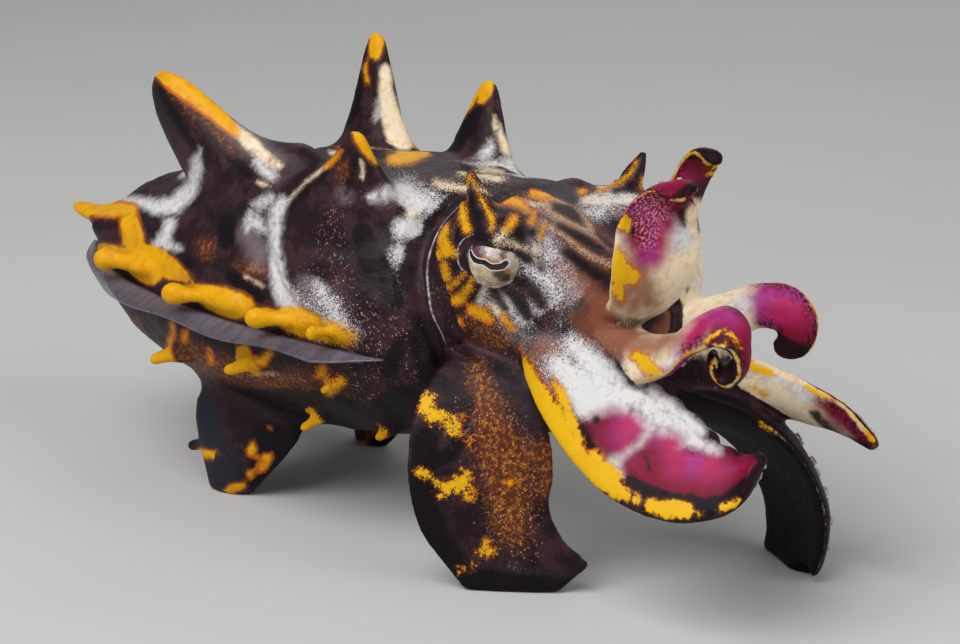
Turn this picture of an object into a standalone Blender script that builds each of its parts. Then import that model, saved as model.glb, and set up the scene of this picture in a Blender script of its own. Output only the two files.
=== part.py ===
"""Flamboyant cuttlefish, life size, walking over the ground on two arms and two lobes under its body.

The head is at +X and turned a little to the animal's right, which is -Y. The floor is at Z = 0.
Lengths below are millimetres. The last step turns them into metres.
"""

import math

import bmesh
import bpy
from mathutils import Vector

MM = 0.001
GAP = 0.3  # clear space between two neighbouring pieces
ORIGIN = Vector((24.97, 0.52, 0.0))  # added to every point, so that the animal stands over the origin

# The mantle, the sac that makes up most of the body: x, half width, top and bottom of each section.
MANTLE = [
    (-74.0, 2.0, 25.6, 21.2),
    (-71.5, 5.6, 27.6, 18.6),
    (-66.5, 9.8, 30.4, 14.8),
    (-58.5, 13.6, 33.6, 11.2),
    (-48.0, 16.2, 36.0, 8.8),
    (-37.0, 17.2, 37.2, 7.8),
    (-26.0, 17.0, 37.6, 8.4),
    (-18.0, 15.8, 37.4, 10.2),
    (-13.2, 14.2, 36.8, 12.6),
    (-11.2, 12.4, 35.6, 15.0),
]
FIN_LINE_FRONT = (-12.5, 21.4)  # x and height of the widest line of the mantle, where the fins grow
FIN_LINE_REAR = (-74.0, 23.6)

# The head, in its own frame: distance along it, half width, height above and depth below its middle line.
HEAD_MIDDLE = Vector((-4.6, -2.0, 27.3))
HEAD_TURN = math.radians(-14.0)
HEAD_NOD = math.radians(10.0)
HEAD = [
    (-13.0, 8.0, 6.5, 6.5),
    (-10.5, 12.0, 7.8, 8.2),
    (-6.5, 12.8, 8.4, 9.2),
    (-1.5, 11.6, 8.2, 10.0),
    (3.0, 9.6, 7.2, 10.0),
    (7.0, 7.4, 6.4, 9.0),
    (10.5, 5.2, 4.6, 6.8),
    (12.5, 3.0, 2.6, 4.0),
]
EYE_RADIUS = 3.3
EYE = (-1.2, 9.3, 5.2)  # along the head, out from its middle plane, up
EYE_MOUND = (-1.6, 7.2, 3.8)
EYE_MOUND_RADIUS = 4.9

# Tall papillae, which are soft spikes of skin: base, tip, half length and half width of the base.
TALL_PAPILLAE = {
    "papilla_rear_right": ((-45.6, -8.8, 32.4), (-53.6, -11.0, 45.4), 7.4, 4.2),
    "papilla_rear_left": ((-40.5, 9.0, 33.2), (-42.6, 11.0, 49.0), 6.8, 4.0),
    "papilla_mid_right": ((-25.0, -11.0, 33.2), (-23.4, -13.0, 43.4), 6.8, 4.2),
    "papilla_mid_left": ((-26.2, 9.6, 33.4), (-26.4, 11.4, 45.2), 6.8, 4.0),
}
# The papilla over each eye, in the head's own frame: base and tip.
BROW_PAPILLAE = [
    ((-4.0, -8.2, 6.8), (-6.6, -9.4, 11.6)),
    ((-3.4, 8.4, 6.8), (-4.8, 10.6, 11.8)),
]
BROW_HALF_LONG = 3.2
BROW_HALF_WIDE = 2.4
# The flat papillae at the tail: base, tip, half height and half width of the base.
TAIL_PAPILLAE = [
    ((-67.0, -7.0, 26.4), (-77.6, -3.6, 26.6), 2.0, 4.6),
    ((-67.0, 7.0, 26.4), (-76.8, 6.0, 26.6), 2.0, 4.6),
]
# Where the rings of a tall papilla lie, as shares of its height. The first is under the skin.
SPIKE_HEIGHTS = (-0.12, 0.06, 0.2, 0.4, 0.62, 0.84, 0.96, 1.0)
BROW_HEIGHTS = (-0.1, 0.15, 0.5, 0.8, 1.0)
BELLY_HEIGHTS = (-0.1, 0.3, 0.7, 1.0)
# Low club-shaped papillae along each fin: x of the round end, its height, length and radius.
CLUBS = [(-65.0, 25.0, 9.0, 1.5), (-47.4, 24.6, 9.6, 1.45), (-33.6, 24.0, 7.4, 1.3), (-24.6, 23.2, 3.6, 1.0)]
# Along each of them: step, height over the skin and share of its radius.
CLUB_SHAPE = [(-0.17, 1.6, 0.45), (-0.11, 1.6, 0.95), (0.0, 1.5, 1.2), (0.12, 1.3, 0.95), (0.3, 0.8, 0.8),
              (0.6, 0.4, 1.0), (0.9, -0.2, 0.8), (1.15, -1.2, 0.3)]
# Small papillae under the body: base, tip and radius of the base, on the right side.
BELLY_PAPILLAE = [
    ((-48.8, -14.4, 16.0), (-52.2, -16.8, 14.6), 1.8),
    ((-34.8, -15.8, 18.0), (-39.2, -18.2, 16.0), 1.8),
    ((-24.0, -15.8, 17.6), (-25.2, -17.8, 16.2), 1.4),
    ((-28.8, -12.4, 12.4), (-32.2, -13.8, 9.8), 1.7),
    ((-21.0, -11.0, 12.0), (-22.4, -12.4, 10.4), 1.4),
]

# Each arm is a flattened blade that is laid along a path. "across" is the direction of its width, at its root
# and at its tip, and "cup" bends both of its edges back from the outer face.
ARMS = {
    "arm_1_right": dict(
        path=[(1.0, -4.5, 28.0), (5.4, -7.6, 28.6), (8.8, -9.2, 30.8), (10.2, -9.4, 34.8), (11.2, -9.0, 38.4),
              (13.2, -8.6, 41.0), (15.8, -8.4, 41.0)],
        half_width=[2.6, 3.4, 4.2, 4.4, 3.8, 2.6, 1.2],
        half_thick=[2.0, 2.0, 1.7, 1.4, 1.1, 0.8, 0.5],
        across=((0.55, 0.80, 0.10), (0.45, 0.85, 0.10)), cup=-1.2,
        joints=(6,), beside=("arm_2_right",)),
    "arm_1_left": dict(
        path=[(3.0, -0.5, 27.0), (6.0, 1.0, 28.6), (7.6, 1.6, 32.4), (7.2, 2.0, 36.8), (7.0, 2.2, 40.2),
              (8.0, 2.2, 42.8), (10.0, 1.8, 42.6)],
        half_width=[2.6, 3.2, 3.6, 3.2, 2.6, 1.8, 0.9],
        half_thick=[2.0, 2.0, 1.7, 1.4, 1.1, 0.8, 0.5],
        across=((0.30, 0.95, 0.0), (0.35, 0.93, 0.0)), cup=-1.0,
        joints=(6,), beside=("arm_1_right", "arm_2_right")),
    "arm_2_right": dict(
        path=[(1.5, -7.5, 26.5), (6.5, -10.2, 26.0), (11.6, -11.8, 25.8), (16.2, -12.6, 27.4),
              (19.8, -12.8, 30.0), (23.0, -12.6, 30.2), (24.0, -12.4, 27.6), (22.0, -12.4, 26.0)],
        half_width=[2.4, 3.0, 3.2, 3.2, 2.9, 2.4, 1.7, 0.9],
        half_thick=[2.2, 2.2, 1.8, 1.4, 1.1, 0.9, 0.7, 0.5],
        across=((0.25, 0.75, 0.60), (0.30, 0.80, 0.50)), cup=-0.9,
        joints=(7, 11), beside=("arm_3_right",)),
    "arm_2_left": dict(
        path=[(4.0, -0.5, 24.6), (9.2, 1.6, 25.0), (13.0, 3.0, 27.6), (17.0, 3.8, 29.2), (20.0, 4.2, 27.4),
              (19.2, 4.2, 24.0), (17.0, 4.0, 22.8)],
        half_width=[2.4, 3.2, 3.8, 3.8, 3.0, 2.0, 1.0],
        half_thick=[2.2, 2.0, 1.6, 1.2, 1.0, 0.8, 0.5],
        across=((0.20, 0.90, -0.35), (0.15, 0.95, -0.20)), cup=0.8,
        joints=(6, 9), beside=("arm_1_left", "arm_2_right", "arm_3_left")),
    "arm_3_right": dict(
        path=[(-2.0, -7.6, 25.4), (2.2, -10.8, 23.6), (8.4, -13.2, 20.6), (14.8, -14.4, 17.6),
              (20.4, -14.2, 15.9), (24.8, -13.2, 16.7), (27.0, -12.4, 18.6)],
        half_width=[4.0, 4.7, 5.4, 5.4, 4.4, 2.8, 1.2],
        half_thick=[2.6, 2.8, 2.5, 2.1, 1.7, 1.2, 0.6],
        across=((0.335, 0.535, 0.77), (0.20, 0.55, 0.80)), cup=1.6,
        joints=(6,), beside=("arm_4_right",)),
    "arm_3_left": dict(
        path=[(3.5, -1.0, 21.6), (8.4, 1.6, 20.6), (13.6, 4.2, 19.2), (18.8, 5.8, 18.0), (23.4, 6.6, 17.0),
              (26.8, 6.8, 15.2)],
        half_width=[3.4, 4.0, 4.4, 4.2, 3.2, 1.4],
        half_thick=[2.2, 2.2, 1.8, 1.5, 1.2, 0.6],
        across=((-0.20, -0.60, 0.77), (-0.10, -0.75, 0.65)), cup=-1.2,
        joints=(5,), beside=("arm_4_left", "arm_3_right", "arm_2_right")),
    "arm_4_right": dict(
        path=[(-4.6, -7.8, 21.4), (-5.4, -11.4, 19.8), (-5.2, -14.4, 16.6), (-4.7, -15.9, 12.2),
              (-3.8, -16.3, 7.2), (-2.2, -15.8, 2.6), (0.6, -14.6, -0.4), (4.4, -12.6, -1.6)],
        half_width=[3.6, 4.4, 6.4, 7.4, 7.5, 7.0, 5.6, 3.2],
        half_thick=[2.4, 2.2, 1.8, 1.5, 1.4, 1.4, 1.6, 1.6],
        across=((0.88, 0.47, 0.0), (0.84, 0.54, 0.0)), cup=1.5,
        joints=(6,), beside=()),
    "arm_4_left": dict(
        path=[(3.4, -0.4, 19.4), (7.8, 2.4, 18.2), (12.2, 5.6, 16.2), (15.6, 8.4, 12.2), (17.4, 10.0, 7.4),
              (17.8, 10.2, 2.8), (17.2, 9.4, -0.6), (17.8, 7.8, -1.8)],
        half_width=[3.4, 4.2, 6.0, 7.2, 7.4, 6.6, 5.2, 3.0],
        half_thick=[2.4, 2.2, 1.8, 1.5, 1.4, 1.4, 1.6, 1.6],
        across=((0.62, -0.55, 0.55), (0.88, -0.47, 0.0)), cup=1.4,
        joints=(6,), beside=("arm_3_right",)),
}
# An arm gives way to the ones before it.
ARM_ORDER = ["arm_4_right", "arm_3_right", "arm_2_right", "arm_1_right",
             "arm_4_left", "arm_3_left", "arm_1_left", "arm_2_left"]

# The lobe under each side of the belly, which the animal also walks on.
LOBE = dict(
    path=[(-42.6, -7.6, 13.0), (-43.0, -9.2, 9.6), (-43.6, -10.6, 6.2), (-44.2, -11.2, 3.0),
          (-44.6, -11.4, 0.6), (-44.6, -11.2, -1.4)],
    half_width=[9.8, 8.6, 6.8, 4.6, 3.0, 2.4],
    half_thick=[2.2, 2.1, 1.9, 1.7, 1.6, 1.5],
    across=((1.0, 0.0, 0.0), (0.97, 0.25, 0.0)), cup=0.6)

FIN_FRONT_X = -18.0
FIN_LENGTH = 54.5
FIN_OUT = 3.2  # how far a fin stands out from the mantle
FIN_DROOP = 1.3  # how far its edge hangs below its root
FIN_RIPPLE = 0.3
FIN_THICK = 0.6
FIN_ROOT_DEPTH = 2.0  # how far in it starts, before the mantle's room is cut from it

# The funnel, the nozzle of the animal's water jet, under the head: x and radius.
FUNNEL = [(-17.0, 4.6), (-10.0, 4.4), (-4.0, 3.4), (0.5, 2.5)]
FUNNEL_Z = 16.0
FUNNEL_Y = -1.5
FUNNEL_FLATTEN = 1.2  # its width over its height

# How square each cross-section is: 2 is an oval, and more is boxier.
MANTLE_BOXY = 2.15
HEAD_BOXY = 2.2

# Points round each cross-section.
MANTLE_POINTS = 22
HEAD_POINTS = 18
ARM_POINTS = 12
SMOOTH_BELOW = math.radians(50.0)  # edges that bend less than this are shaded smooth

SKIN_BROWN = (0.055, 0.024, 0.030)
HEAD_BROWN = (0.16, 0.08, 0.06)
ARM_BROWN = (0.20, 0.07, 0.08)
FIN_LILAC = (0.30, 0.26, 0.32)
EYE_GREY = (0.35, 0.32, 0.28)


def clear_scene():
    for obj in list(bpy.data.objects):
        bpy.data.objects.remove(obj, do_unlink=True)


def smooth_path(rows, steps):
    """Rows of numbers drawn out into a smooth curve through them, with so many steps between each two."""
    rows = [Vector(row) for row in rows]
    ends = [rows[0] * 2 - rows[1]] + rows + [rows[-1] * 2 - rows[-2]]
    out = []
    for a, b, c, d in zip(ends, ends[1:], ends[2:], ends[3:]):
        for step in range(steps):
            t = step / steps
            out.append(0.5 * (2 * b + (c - a) * t + (2 * a - 5 * b + 4 * c - d) * t * t
                              + (3 * b - a - 3 * c + d) * t * t * t))
    return out + [rows[-1]]


def object_from(name, mesh):
    """A closed object from a bmesh whose points are in millimetres."""
    bmesh.ops.recalc_face_normals(mesh, faces=mesh.faces)
    data = bpy.data.meshes.new(name)
    mesh.to_mesh(data)
    mesh.free()
    obj = bpy.data.objects.new(name, data)
    bpy.context.scene.collection.objects.link(obj)
    return obj


def skin_rings(name, rings):
    """The closed skin over a row of rings that all hold the same number of points."""
    mesh = bmesh.new()
    loops = [[mesh.verts.new(point) for point in ring] for ring in rings]
    count = len(loops[0])
    for low, high in zip(loops, loops[1:]):
        for i in range(count):
            j = (i + 1) % count
            mesh.faces.new((low[i], low[j], high[j], high[i]))
    mesh.faces.new(loops[0][::-1])
    mesh.faces.new(loops[-1])
    bmesh.ops.triangulate(mesh, faces=[f for f in mesh.faces if len(f.verts) > 4])
    return object_from(name, mesh)


def cut(target, cutter, operation="DIFFERENCE"):
    """Applies a Boolean and throws the cutter away. The second solver is for cuts that the first one loses."""
    for solver in ("EXACT", "MANIFOLD"):
        modifier = target.modifiers.new("cut", "BOOLEAN")
        modifier.operation = operation
        modifier.solver = solver
        modifier.object = cutter
        bpy.context.view_layer.update()
        graph = bpy.context.evaluated_depsgraph_get()
        result = bpy.data.meshes.new_from_object(target.evaluated_get(graph))
        target.modifiers.clear()
        if result.polygons:
            break
    target.data = result
    bpy.data.objects.remove(cutter, do_unlink=True)


def paint(obj, color, roughness=0.35):
    """The piece's own material, and smooth shading over its round faces."""
    material = bpy.data.materials.new(obj.name)
    material.use_nodes = True
    shader = material.node_tree.nodes["Principled BSDF"]
    shader.inputs["Base Color"].default_value = (*color, 1.0)
    shader.inputs["Roughness"].default_value = roughness
    material.diffuse_color = (*color, 1.0)
    obj.data.materials.clear()
    obj.data.materials.append(material)
    obj.data.shade_smooth()
    obj.data.set_sharp_from_angle(angle=SMOOTH_BELOW)


def fin_line(x):
    """Height of the widest line of the mantle, which rises a little towards the tail."""
    (front, low), (rear, high) = FIN_LINE_FRONT, FIN_LINE_REAR
    return low + (high - low) * (x - front) / (rear - front)


def body_rings(rows, points, grow, boxy, middle):
    """Rings across a body that lies along x. Each row is x, half width, top and bottom."""
    rows = smooth_path(rows, 2)
    rows[0][0] -= grow
    rows[-1][0] += grow
    rings = []
    for x, wide, top, bottom in rows:
        line = middle(x)
        ring = []
        for i in range(points):
            c, s = math.cos(math.tau * i / points), math.sin(math.tau * i / points)
            side = math.copysign(abs(c) ** (2 / boxy), c) * (wide + grow)
            high = (top - line if s > 0 else line - bottom) + grow
            ring.append(Vector((x, side, line + math.copysign(abs(s) ** (2 / boxy), s) * high)))
        rings.append(ring)
    return rings


def mantle_solid(name, grow=0.0):
    return skin_rings(name, body_rings(MANTLE, MANTLE_POINTS, grow, MANTLE_BOXY, fin_line))


def head_place(along, out, up):
    """A point of the head's own frame, set into the animal."""
    ahead = along * math.cos(HEAD_NOD) + up * math.sin(HEAD_NOD)
    lift = up * math.cos(HEAD_NOD) - along * math.sin(HEAD_NOD)
    forward = Vector((math.cos(HEAD_TURN), math.sin(HEAD_TURN), 0))
    left = Vector((-math.sin(HEAD_TURN), math.cos(HEAD_TURN), 0))
    return HEAD_MIDDLE + forward * ahead + left * out + Vector((0, 0, lift))


def head_solid(name, grow=0.0):
    rows = [(along, wide, up, -down) for along, wide, up, down in HEAD]
    rings = body_rings(rows, HEAD_POINTS, grow, HEAD_BOXY, lambda x: 0.0)
    head = skin_rings(name, [[head_place(*point) for point in ring] for ring in rings])
    for side in (-1, 1):
        along, out, up = EYE_MOUND
        mound = ball("mound", head_place(along, side * out, up), EYE_MOUND_RADIUS + grow, 8, 12)
        cut(head, mound, "UNION")
    return head


def ball(name, centre, radius, rows=8, points=14):
    mesh = bmesh.new()
    bmesh.ops.create_uvsphere(mesh, u_segments=points, v_segments=rows, radius=radius)
    bmesh.ops.translate(mesh, verts=mesh.verts, vec=centre)
    return object_from(name, mesh)


def blade_rings(shape, steps, points, grow=0.0):
    """Rings along a blade: a flat oval across its path, with both edges cupped back from the outer face."""
    rows = [(*place, wide, thick) for place, wide, thick in
            zip(shape["path"], shape["half_width"], shape["half_thick"])]
    rows = smooth_path(rows, steps)
    root, tip = (Vector(v) for v in shape["across"])
    last = len(rows) - 1
    rings = []
    for k, row in enumerate(rows):
        centre = Vector(row[:3])
        ahead = (Vector(rows[min(k + 1, last)][:3]) - Vector(rows[max(k - 1, 0)][:3])).normalized()
        across = root.lerp(tip, k / last)
        across = (across - ahead * across.dot(ahead)).normalized()
        outward = across.cross(ahead)
        if k in (0, last):
            centre = centre + ahead * (grow if k else -grow)
        ring = []
        for i in range(points):
            c, s = math.cos(math.tau * i / points), math.sin(math.tau * i / points)
            bend = shape["cup"] * c * c * min(row[3] / 5.0, 1.0)
            ring.append(centre + across * ((row[3] + grow) * c) + outward * ((row[4] + grow) * s - bend))
        rings.append(ring)
    return rings


def blade_solid(name, shape, steps=2, points=ARM_POINTS, grow=0.0):
    return skin_rings(name, blade_rings(shape, steps, points, grow))


def spike_rings(base, tip, half_long, half_wide, points=10, heights=SPIKE_HEIGHTS):
    """A soft spike: a wide flared foot that closes in and then tapers to a blunt tip."""
    base, tip = Vector(base), Vector(tip)
    ahead = (tip - base).normalized()
    back = (Vector((1, 0, 0)) - ahead * ahead.x if abs(ahead.x) < 0.8 else Vector((0, 0, 1)) - ahead * ahead.z)
    back.normalize()
    side = ahead.cross(back)
    rings = []
    for t in heights:
        round_off = math.sqrt(max(1 - max(t, 0) ** 8, 0.12))
        flare = (0.66 * (1 - t) + 0.30 * max(1 - t, 0) ** 3 + 0.10) * round_off
        centre = base.lerp(tip, t)
        rings.append([centre + back * (half_long * flare * math.cos(math.tau * i / points))
                      + side * (half_wide * flare * math.sin(math.tau * i / points)) for i in range(points)])
    return rings


def spike_solid(name, *args, **kw):
    return skin_rings(name, spike_rings(*args, **kw))


def mirrored(point):
    return (point[0], -point[1], point[2])


def side_of_mantle(x, z):
    """How far the mantle reaches from its middle plane at this place."""
    rows = smooth_path(MANTLE, 8)
    row = min(rows, key=lambda row: abs(row[0] - x))
    high = row[2] - fin_line(x) if z > fin_line(x) else fin_line(x) - row[3]
    share = min(abs(z - fin_line(x)) / high, 0.999)
    return row[1] * (1 - share ** MANTLE_BOXY) ** (1 / MANTLE_BOXY)


def add_clubs(mantle, side):
    """The row of low papillae over one fin: a soft bar that ends in a round knob towards the tail."""
    for x, z, length, radius in CLUBS:
        path, size = [], []
        for step, lift, share in CLUB_SHAPE:
            place = x + step * length
            height = z + fin_line(place) - fin_line(x)
            path.append((place, side * (side_of_mantle(place, height) + lift), height))
            size.append(radius * share)
        shape = dict(path=path, half_width=size, half_thick=size, across=((0, 0, 1), (0, 0, 1)), cup=0.0)
        cut(mantle, blade_solid("club", shape, 1, 7), "UNION")


def make_mantle():
    mantle = mantle_solid("mantle")
    for side in (-1, 1):
        add_clubs(mantle, side)
        for base, tip, radius in BELLY_PAPILLAE:
            if side > 0:
                base, tip = mirrored(base), mirrored(tip)
            small = spike_solid("small", base, tip, radius, radius * 0.8, points=6, heights=BELLY_HEIGHTS)
            cut(mantle, small, "UNION")
    for base, tip, deep, wide in TAIL_PAPILLAE:
        cut(mantle, spike_solid("tail", base, tip, deep, wide, points=8), "UNION")
    cut(mantle, head_solid("room for the head", GAP))
    paint(mantle, SKIN_BROWN)


def make_tall_papillae():
    for name, (base, tip, long, wide) in TALL_PAPILLAE.items():
        papilla = spike_solid(name, base, tip, long, wide)
        cut(papilla, mantle_solid("room for the mantle", GAP))
        paint(papilla, SKIN_BROWN)


def make_head():
    head = head_solid("head")
    for base, tip in BROW_PAPILLAE:
        base, tip = head_place(*base), head_place(*tip)
        brow = spike_solid("brow", base, tip, BROW_HALF_LONG, BROW_HALF_WIDE, points=8, heights=BROW_HEIGHTS)
        cut(head, brow, "UNION")
    for side in (-1, 1):
        along, out, up = EYE
        cut(head, ball("room for the eye", head_place(along, side * out, up), EYE_RADIUS + GAP))
    paint(head, HEAD_BROWN)


def make_eyes():
    along, out, up = EYE
    for name, side in (("eye_right", -1), ("eye_left", 1)):
        paint(ball(name, head_place(along, side * out, up), EYE_RADIUS), EYE_GREY, 0.08)


def fin_sheet(name, side):
    """One fin: a thin sheet along the whole side of the mantle, which droops a little."""
    rings = []
    count = 13
    for k in range(count):
        t = k / (count - 1)
        x = FIN_FRONT_X - FIN_LENGTH * t
        line = fin_line(x) - 0.4
        reach = side_of_mantle(x, line)
        out = FIN_OUT * min(1.0, 0.25 + 3.0 * t) * (1.0 - 0.55 * max(0.0, min((t - 0.72) / 0.2, 1.0)))
        droop = FIN_DROOP + FIN_RIPPLE * math.sin(7.0 * t)
        inner = Vector((x, side * (reach - FIN_ROOT_DEPTH), line))
        outer = Vector((x - 1.5 * t ** 4, side * (reach + out), line - droop))
        middle = inner.lerp(outer, 0.6) + Vector((0, 0, 0.3))
        half = Vector((0, 0, FIN_THICK / 2))
        rings.append([inner + half * 1.6, middle + half * 1.2, outer + half * 0.9,
                      outer - half * 0.9, middle - half * 1.2, inner - half * 1.6])
    return skin_rings(name, rings)


def make_fins():
    for name, side in (("fin_right", -1), ("fin_left", 1)):
        fin = fin_sheet(name, side)
        cut(fin, mantle_solid("room for the mantle", GAP))
        paint(fin, FIN_LILAC, 0.25)


def block(name, low, high):
    mesh = bmesh.new()
    bmesh.ops.create_cube(mesh, size=1.0)
    low, high = Vector(low), Vector(high)
    for vertex in mesh.verts:
        vertex.co = Vector(((low[i] + high[i]) / 2 + vertex.co[i] * (high[i] - low[i]) for i in range(3)))
    return object_from(name, mesh)


def trim_at_floor(obj):
    cut(obj, block("floor", (-90, -40, -20), (40, 40, 0)))


def make_lobes():
    for name, side in (("lobe_right", -1), ("lobe_left", 1)):
        shape = dict(LOBE)
        if side > 0:
            shape["path"] = [mirrored(place) for place in LOBE["path"]]
            shape["across"] = tuple(mirrored(way) for way in LOBE["across"])
            shape["cup"] = -LOBE["cup"]
        lobe = blade_solid(name, shape)
        cut(lobe, mantle_solid("room for the mantle", GAP))
        trim_at_floor(lobe)
        paint(lobe, SKIN_BROWN)


def near_root(shape):
    """The straight part of an arm, which is all that its neighbours can touch."""
    near = dict(shape)
    for key in ("path", "half_width", "half_thick"):
        near[key] = shape[key][:5]
    root, tip = (Vector(v) for v in shape["across"])
    near["across"] = (root, root.lerp(tip, 4 / (len(shape["path"]) - 1)))
    return near


def lengths_of(rings, joints):
    """An arm's rings parted at the numbered rings, with a gap left after each."""
    out = []
    start = 0
    for joint in list(joints) + [len(rings) - 1]:
        piece = rings[start:joint + 1]
        if start:
            middle = [sum(ring, Vector()) / len(ring) for ring in rings[start:start + 2]]
            step = (middle[1] - middle[0]).normalized() * GAP
            piece[0] = [point + step for point in piece[0]]
        out.append(piece)
        start = joint
    return out


def make_arms():
    """Each arm is parted into lengths, and gives way to the head and to the arms made before it."""
    for k, name in enumerate(ARM_ORDER):
        shape = ARMS[name]
        rings_of_arm = blade_rings(shape, 2, ARM_POINTS)
        for number, rings in enumerate(lengths_of(rings_of_arm, shape["joints"])):
            piece = skin_rings(f"{name}_{'abc'[number]}", rings)
            if number == 0:
                cut(piece, head_solid("room for the head", GAP))
            for other in shape["beside"]:
                cut(piece, blade_solid("room for " + other, near_root(ARMS[other]), grow=GAP))
            if "arm_4" in name:
                trim_at_floor(piece)
            paint(piece, ARM_BROWN)


def make_funnel():
    rings = []
    for x, radius in smooth_path(FUNNEL, 2):
        ring = []
        for i in range(ARM_POINTS):
            turn = math.tau * i / ARM_POINTS
            across = FUNNEL_FLATTEN * radius * math.cos(turn)
            ring.append(Vector((x, FUNNEL_Y + across, FUNNEL_Z + radius * math.sin(turn))))
        rings.append(ring)
    funnel = skin_rings("funnel", rings)
    cut(funnel, mantle_solid("room for the mantle", GAP))
    cut(funnel, head_solid("room for the head", GAP))
    for other in ("arm_4_right", "arm_4_left"):
        cut(funnel, blade_solid("room for " + other, near_root(ARMS[other]), grow=GAP))
    paint(funnel, HEAD_BROWN)


def set_down_in_metres():
    """Moves the finished pieces over the origin and turns their millimetres into metres."""
    for obj in bpy.data.objects:
        for vertex in obj.data.vertices:
            vertex.co = (vertex.co + ORIGIN) * MM


clear_scene()
make_mantle()
make_tall_papillae()
make_head()
make_eyes()
make_fins()
make_lobes()
make_arms()
make_funnel()
set_down_in_metres()
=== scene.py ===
# %% [markdown]
# # A life-size flamboyant cuttlefish, walking
#
# This small cuttlefish walks over the sea floor on its two lower arms and on two lobes under its belly. A
# museum would cast it in soft rubber and paint it by hand. Here it's built the same way: one skin over the
# whole body, then paint that is laid on in strokes, then the fins and the eyes as pieces of their own.
# Lengths are in millimetres while the animal is built, because it is about 105 mm long, and the last step
# turns them into metres.

# %% Load the frame
import math

import bmesh
import bpy
import numpy as np
from mathutils import Matrix, Vector, noise
from mathutils.bvhtree import BVHTree


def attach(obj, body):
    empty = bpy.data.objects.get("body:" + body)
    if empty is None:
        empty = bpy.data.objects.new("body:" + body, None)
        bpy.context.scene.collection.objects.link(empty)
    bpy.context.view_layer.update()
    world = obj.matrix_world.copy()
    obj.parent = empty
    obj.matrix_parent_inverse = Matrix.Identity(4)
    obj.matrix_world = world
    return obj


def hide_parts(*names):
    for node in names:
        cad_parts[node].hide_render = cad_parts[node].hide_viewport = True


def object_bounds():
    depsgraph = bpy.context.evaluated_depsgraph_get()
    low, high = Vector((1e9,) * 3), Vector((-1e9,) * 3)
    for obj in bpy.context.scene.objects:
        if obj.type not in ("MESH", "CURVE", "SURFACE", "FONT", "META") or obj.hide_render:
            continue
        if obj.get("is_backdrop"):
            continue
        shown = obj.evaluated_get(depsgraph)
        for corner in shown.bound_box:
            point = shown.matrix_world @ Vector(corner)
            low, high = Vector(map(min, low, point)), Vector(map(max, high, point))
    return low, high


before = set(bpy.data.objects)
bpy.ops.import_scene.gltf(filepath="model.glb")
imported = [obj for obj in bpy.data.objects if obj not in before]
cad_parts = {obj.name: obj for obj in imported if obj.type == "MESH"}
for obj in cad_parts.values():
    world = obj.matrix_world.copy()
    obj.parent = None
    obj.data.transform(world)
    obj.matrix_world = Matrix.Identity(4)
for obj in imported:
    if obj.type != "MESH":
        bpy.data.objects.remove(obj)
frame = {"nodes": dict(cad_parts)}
cad_low, cad_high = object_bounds()
MM = 0.001
STAND = Vector((24.97, 0.52, 0.0))  # added to every point, so that the animal stands over the origin
print("solid model", [round(side / MM, 1) for side in cad_high - cad_low], "mm")

# %% [markdown]
# ## Drawing a line through a few points
# A sculptor sets a few measured points and lets the clay run smoothly between them. A Catmull-Rom curve does
# that: it passes through every row of numbers it is given. It's used for the paths of the arms and for the
# widths along them, so a shape needs only a handful of rows.


# %% A smooth curve through rows of numbers
def smooth_rows(rows, steps):
    rows = np.array(rows, float)
    ends = np.vstack([2 * rows[0] - rows[1], rows, 2 * rows[-1] - rows[-2]])
    out = []
    for a, b, c, d in zip(ends, ends[1:], ends[2:], ends[3:]):
        for t in np.arange(steps) / steps:
            out.append(0.5 * (2 * b + (c - a) * t + (2 * a - 5 * b + 4 * c - d) * t**2
                              + (3 * b - a - 3 * c + d) * t**3))
    return np.array(out + [rows[-1]])


# %% [markdown]
# ## Rings bridged into a soft body
# Arms, papillae and the body itself are all tubes of changing section. In the editor you would add a circle,
# copy it along, and bridge the edge loops. The helper does the same: each ring starts as a circle, every
# point of it is put in its place, and neighbouring rings are bridged. Each vertex also remembers where it
# lies on its piece, as a distance along it, a share across it and a face, and the paint uses that later.


# %% Ring and bridge
def bridge(body, rings, closed=False):
    """Bridges each ring to the next one. An open row gets a face at both ends, a closed one has no ends."""
    loops = [{edge for vertex in ring for edge in vertex.link_edges} for ring in rings]
    pairs = list(zip(loops, loops[1:])) + ([(loops[-1], loops[0])] if closed else [])
    for low, high in pairs:
        bmesh.ops.bridge_loops(body, edges=list(low | high))
    if not closed:
        for ring in (rings[0], rings[-1]):
            bmesh.ops.contextual_create(body, geom=ring)


def faces_outwards(body):
    """Cuts every face into triangles and turns them outwards."""
    bmesh.ops.triangulate(body, faces=body.faces)
    bmesh.ops.recalc_face_normals(body, faces=body.faces)


class Piece:
    """One tube of the body while it's being built, in millimetres."""

    def __init__(self):
        self.body = bmesh.new()
        floats = self.body.verts.layers.float
        keys = ("along", "across", "face", "wide")
        self.along, self.across, self.face, self.wide = [floats.new(key) for key in keys]
        self.rings = []
        self.frames = []

    def ring(self, along, wide, points, put):
        """A circle whose every point is put where put(c, s) says. c and s go round it from -1 to 1."""
        made = bmesh.ops.create_circle(self.body, segments=points, radius=1.0)["verts"]
        for vertex in made:
            c, s = vertex.co.x, vertex.co.y
            vertex[self.along], vertex[self.across], vertex[self.face] = along, c, s
            vertex[self.wide] = wide
            vertex.co = put(c, s)
        self.rings.append(made)

    def close(self):
        bridge(self.body, self.rings)
        faces_outwards(self.body)
        return self


pieces = {}


def unit(vector):
    return vector / np.linalg.norm(vector)


# %% [markdown]
# ## The mantle
# The mantle is the sac that holds the animal's organs. It's a fat oval that narrows to the tail. Each row
# below gives a section across it, and the sections are a little boxier than ovals, because the fins grow from
# the widest line and the muscle bulges above and below it.

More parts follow.
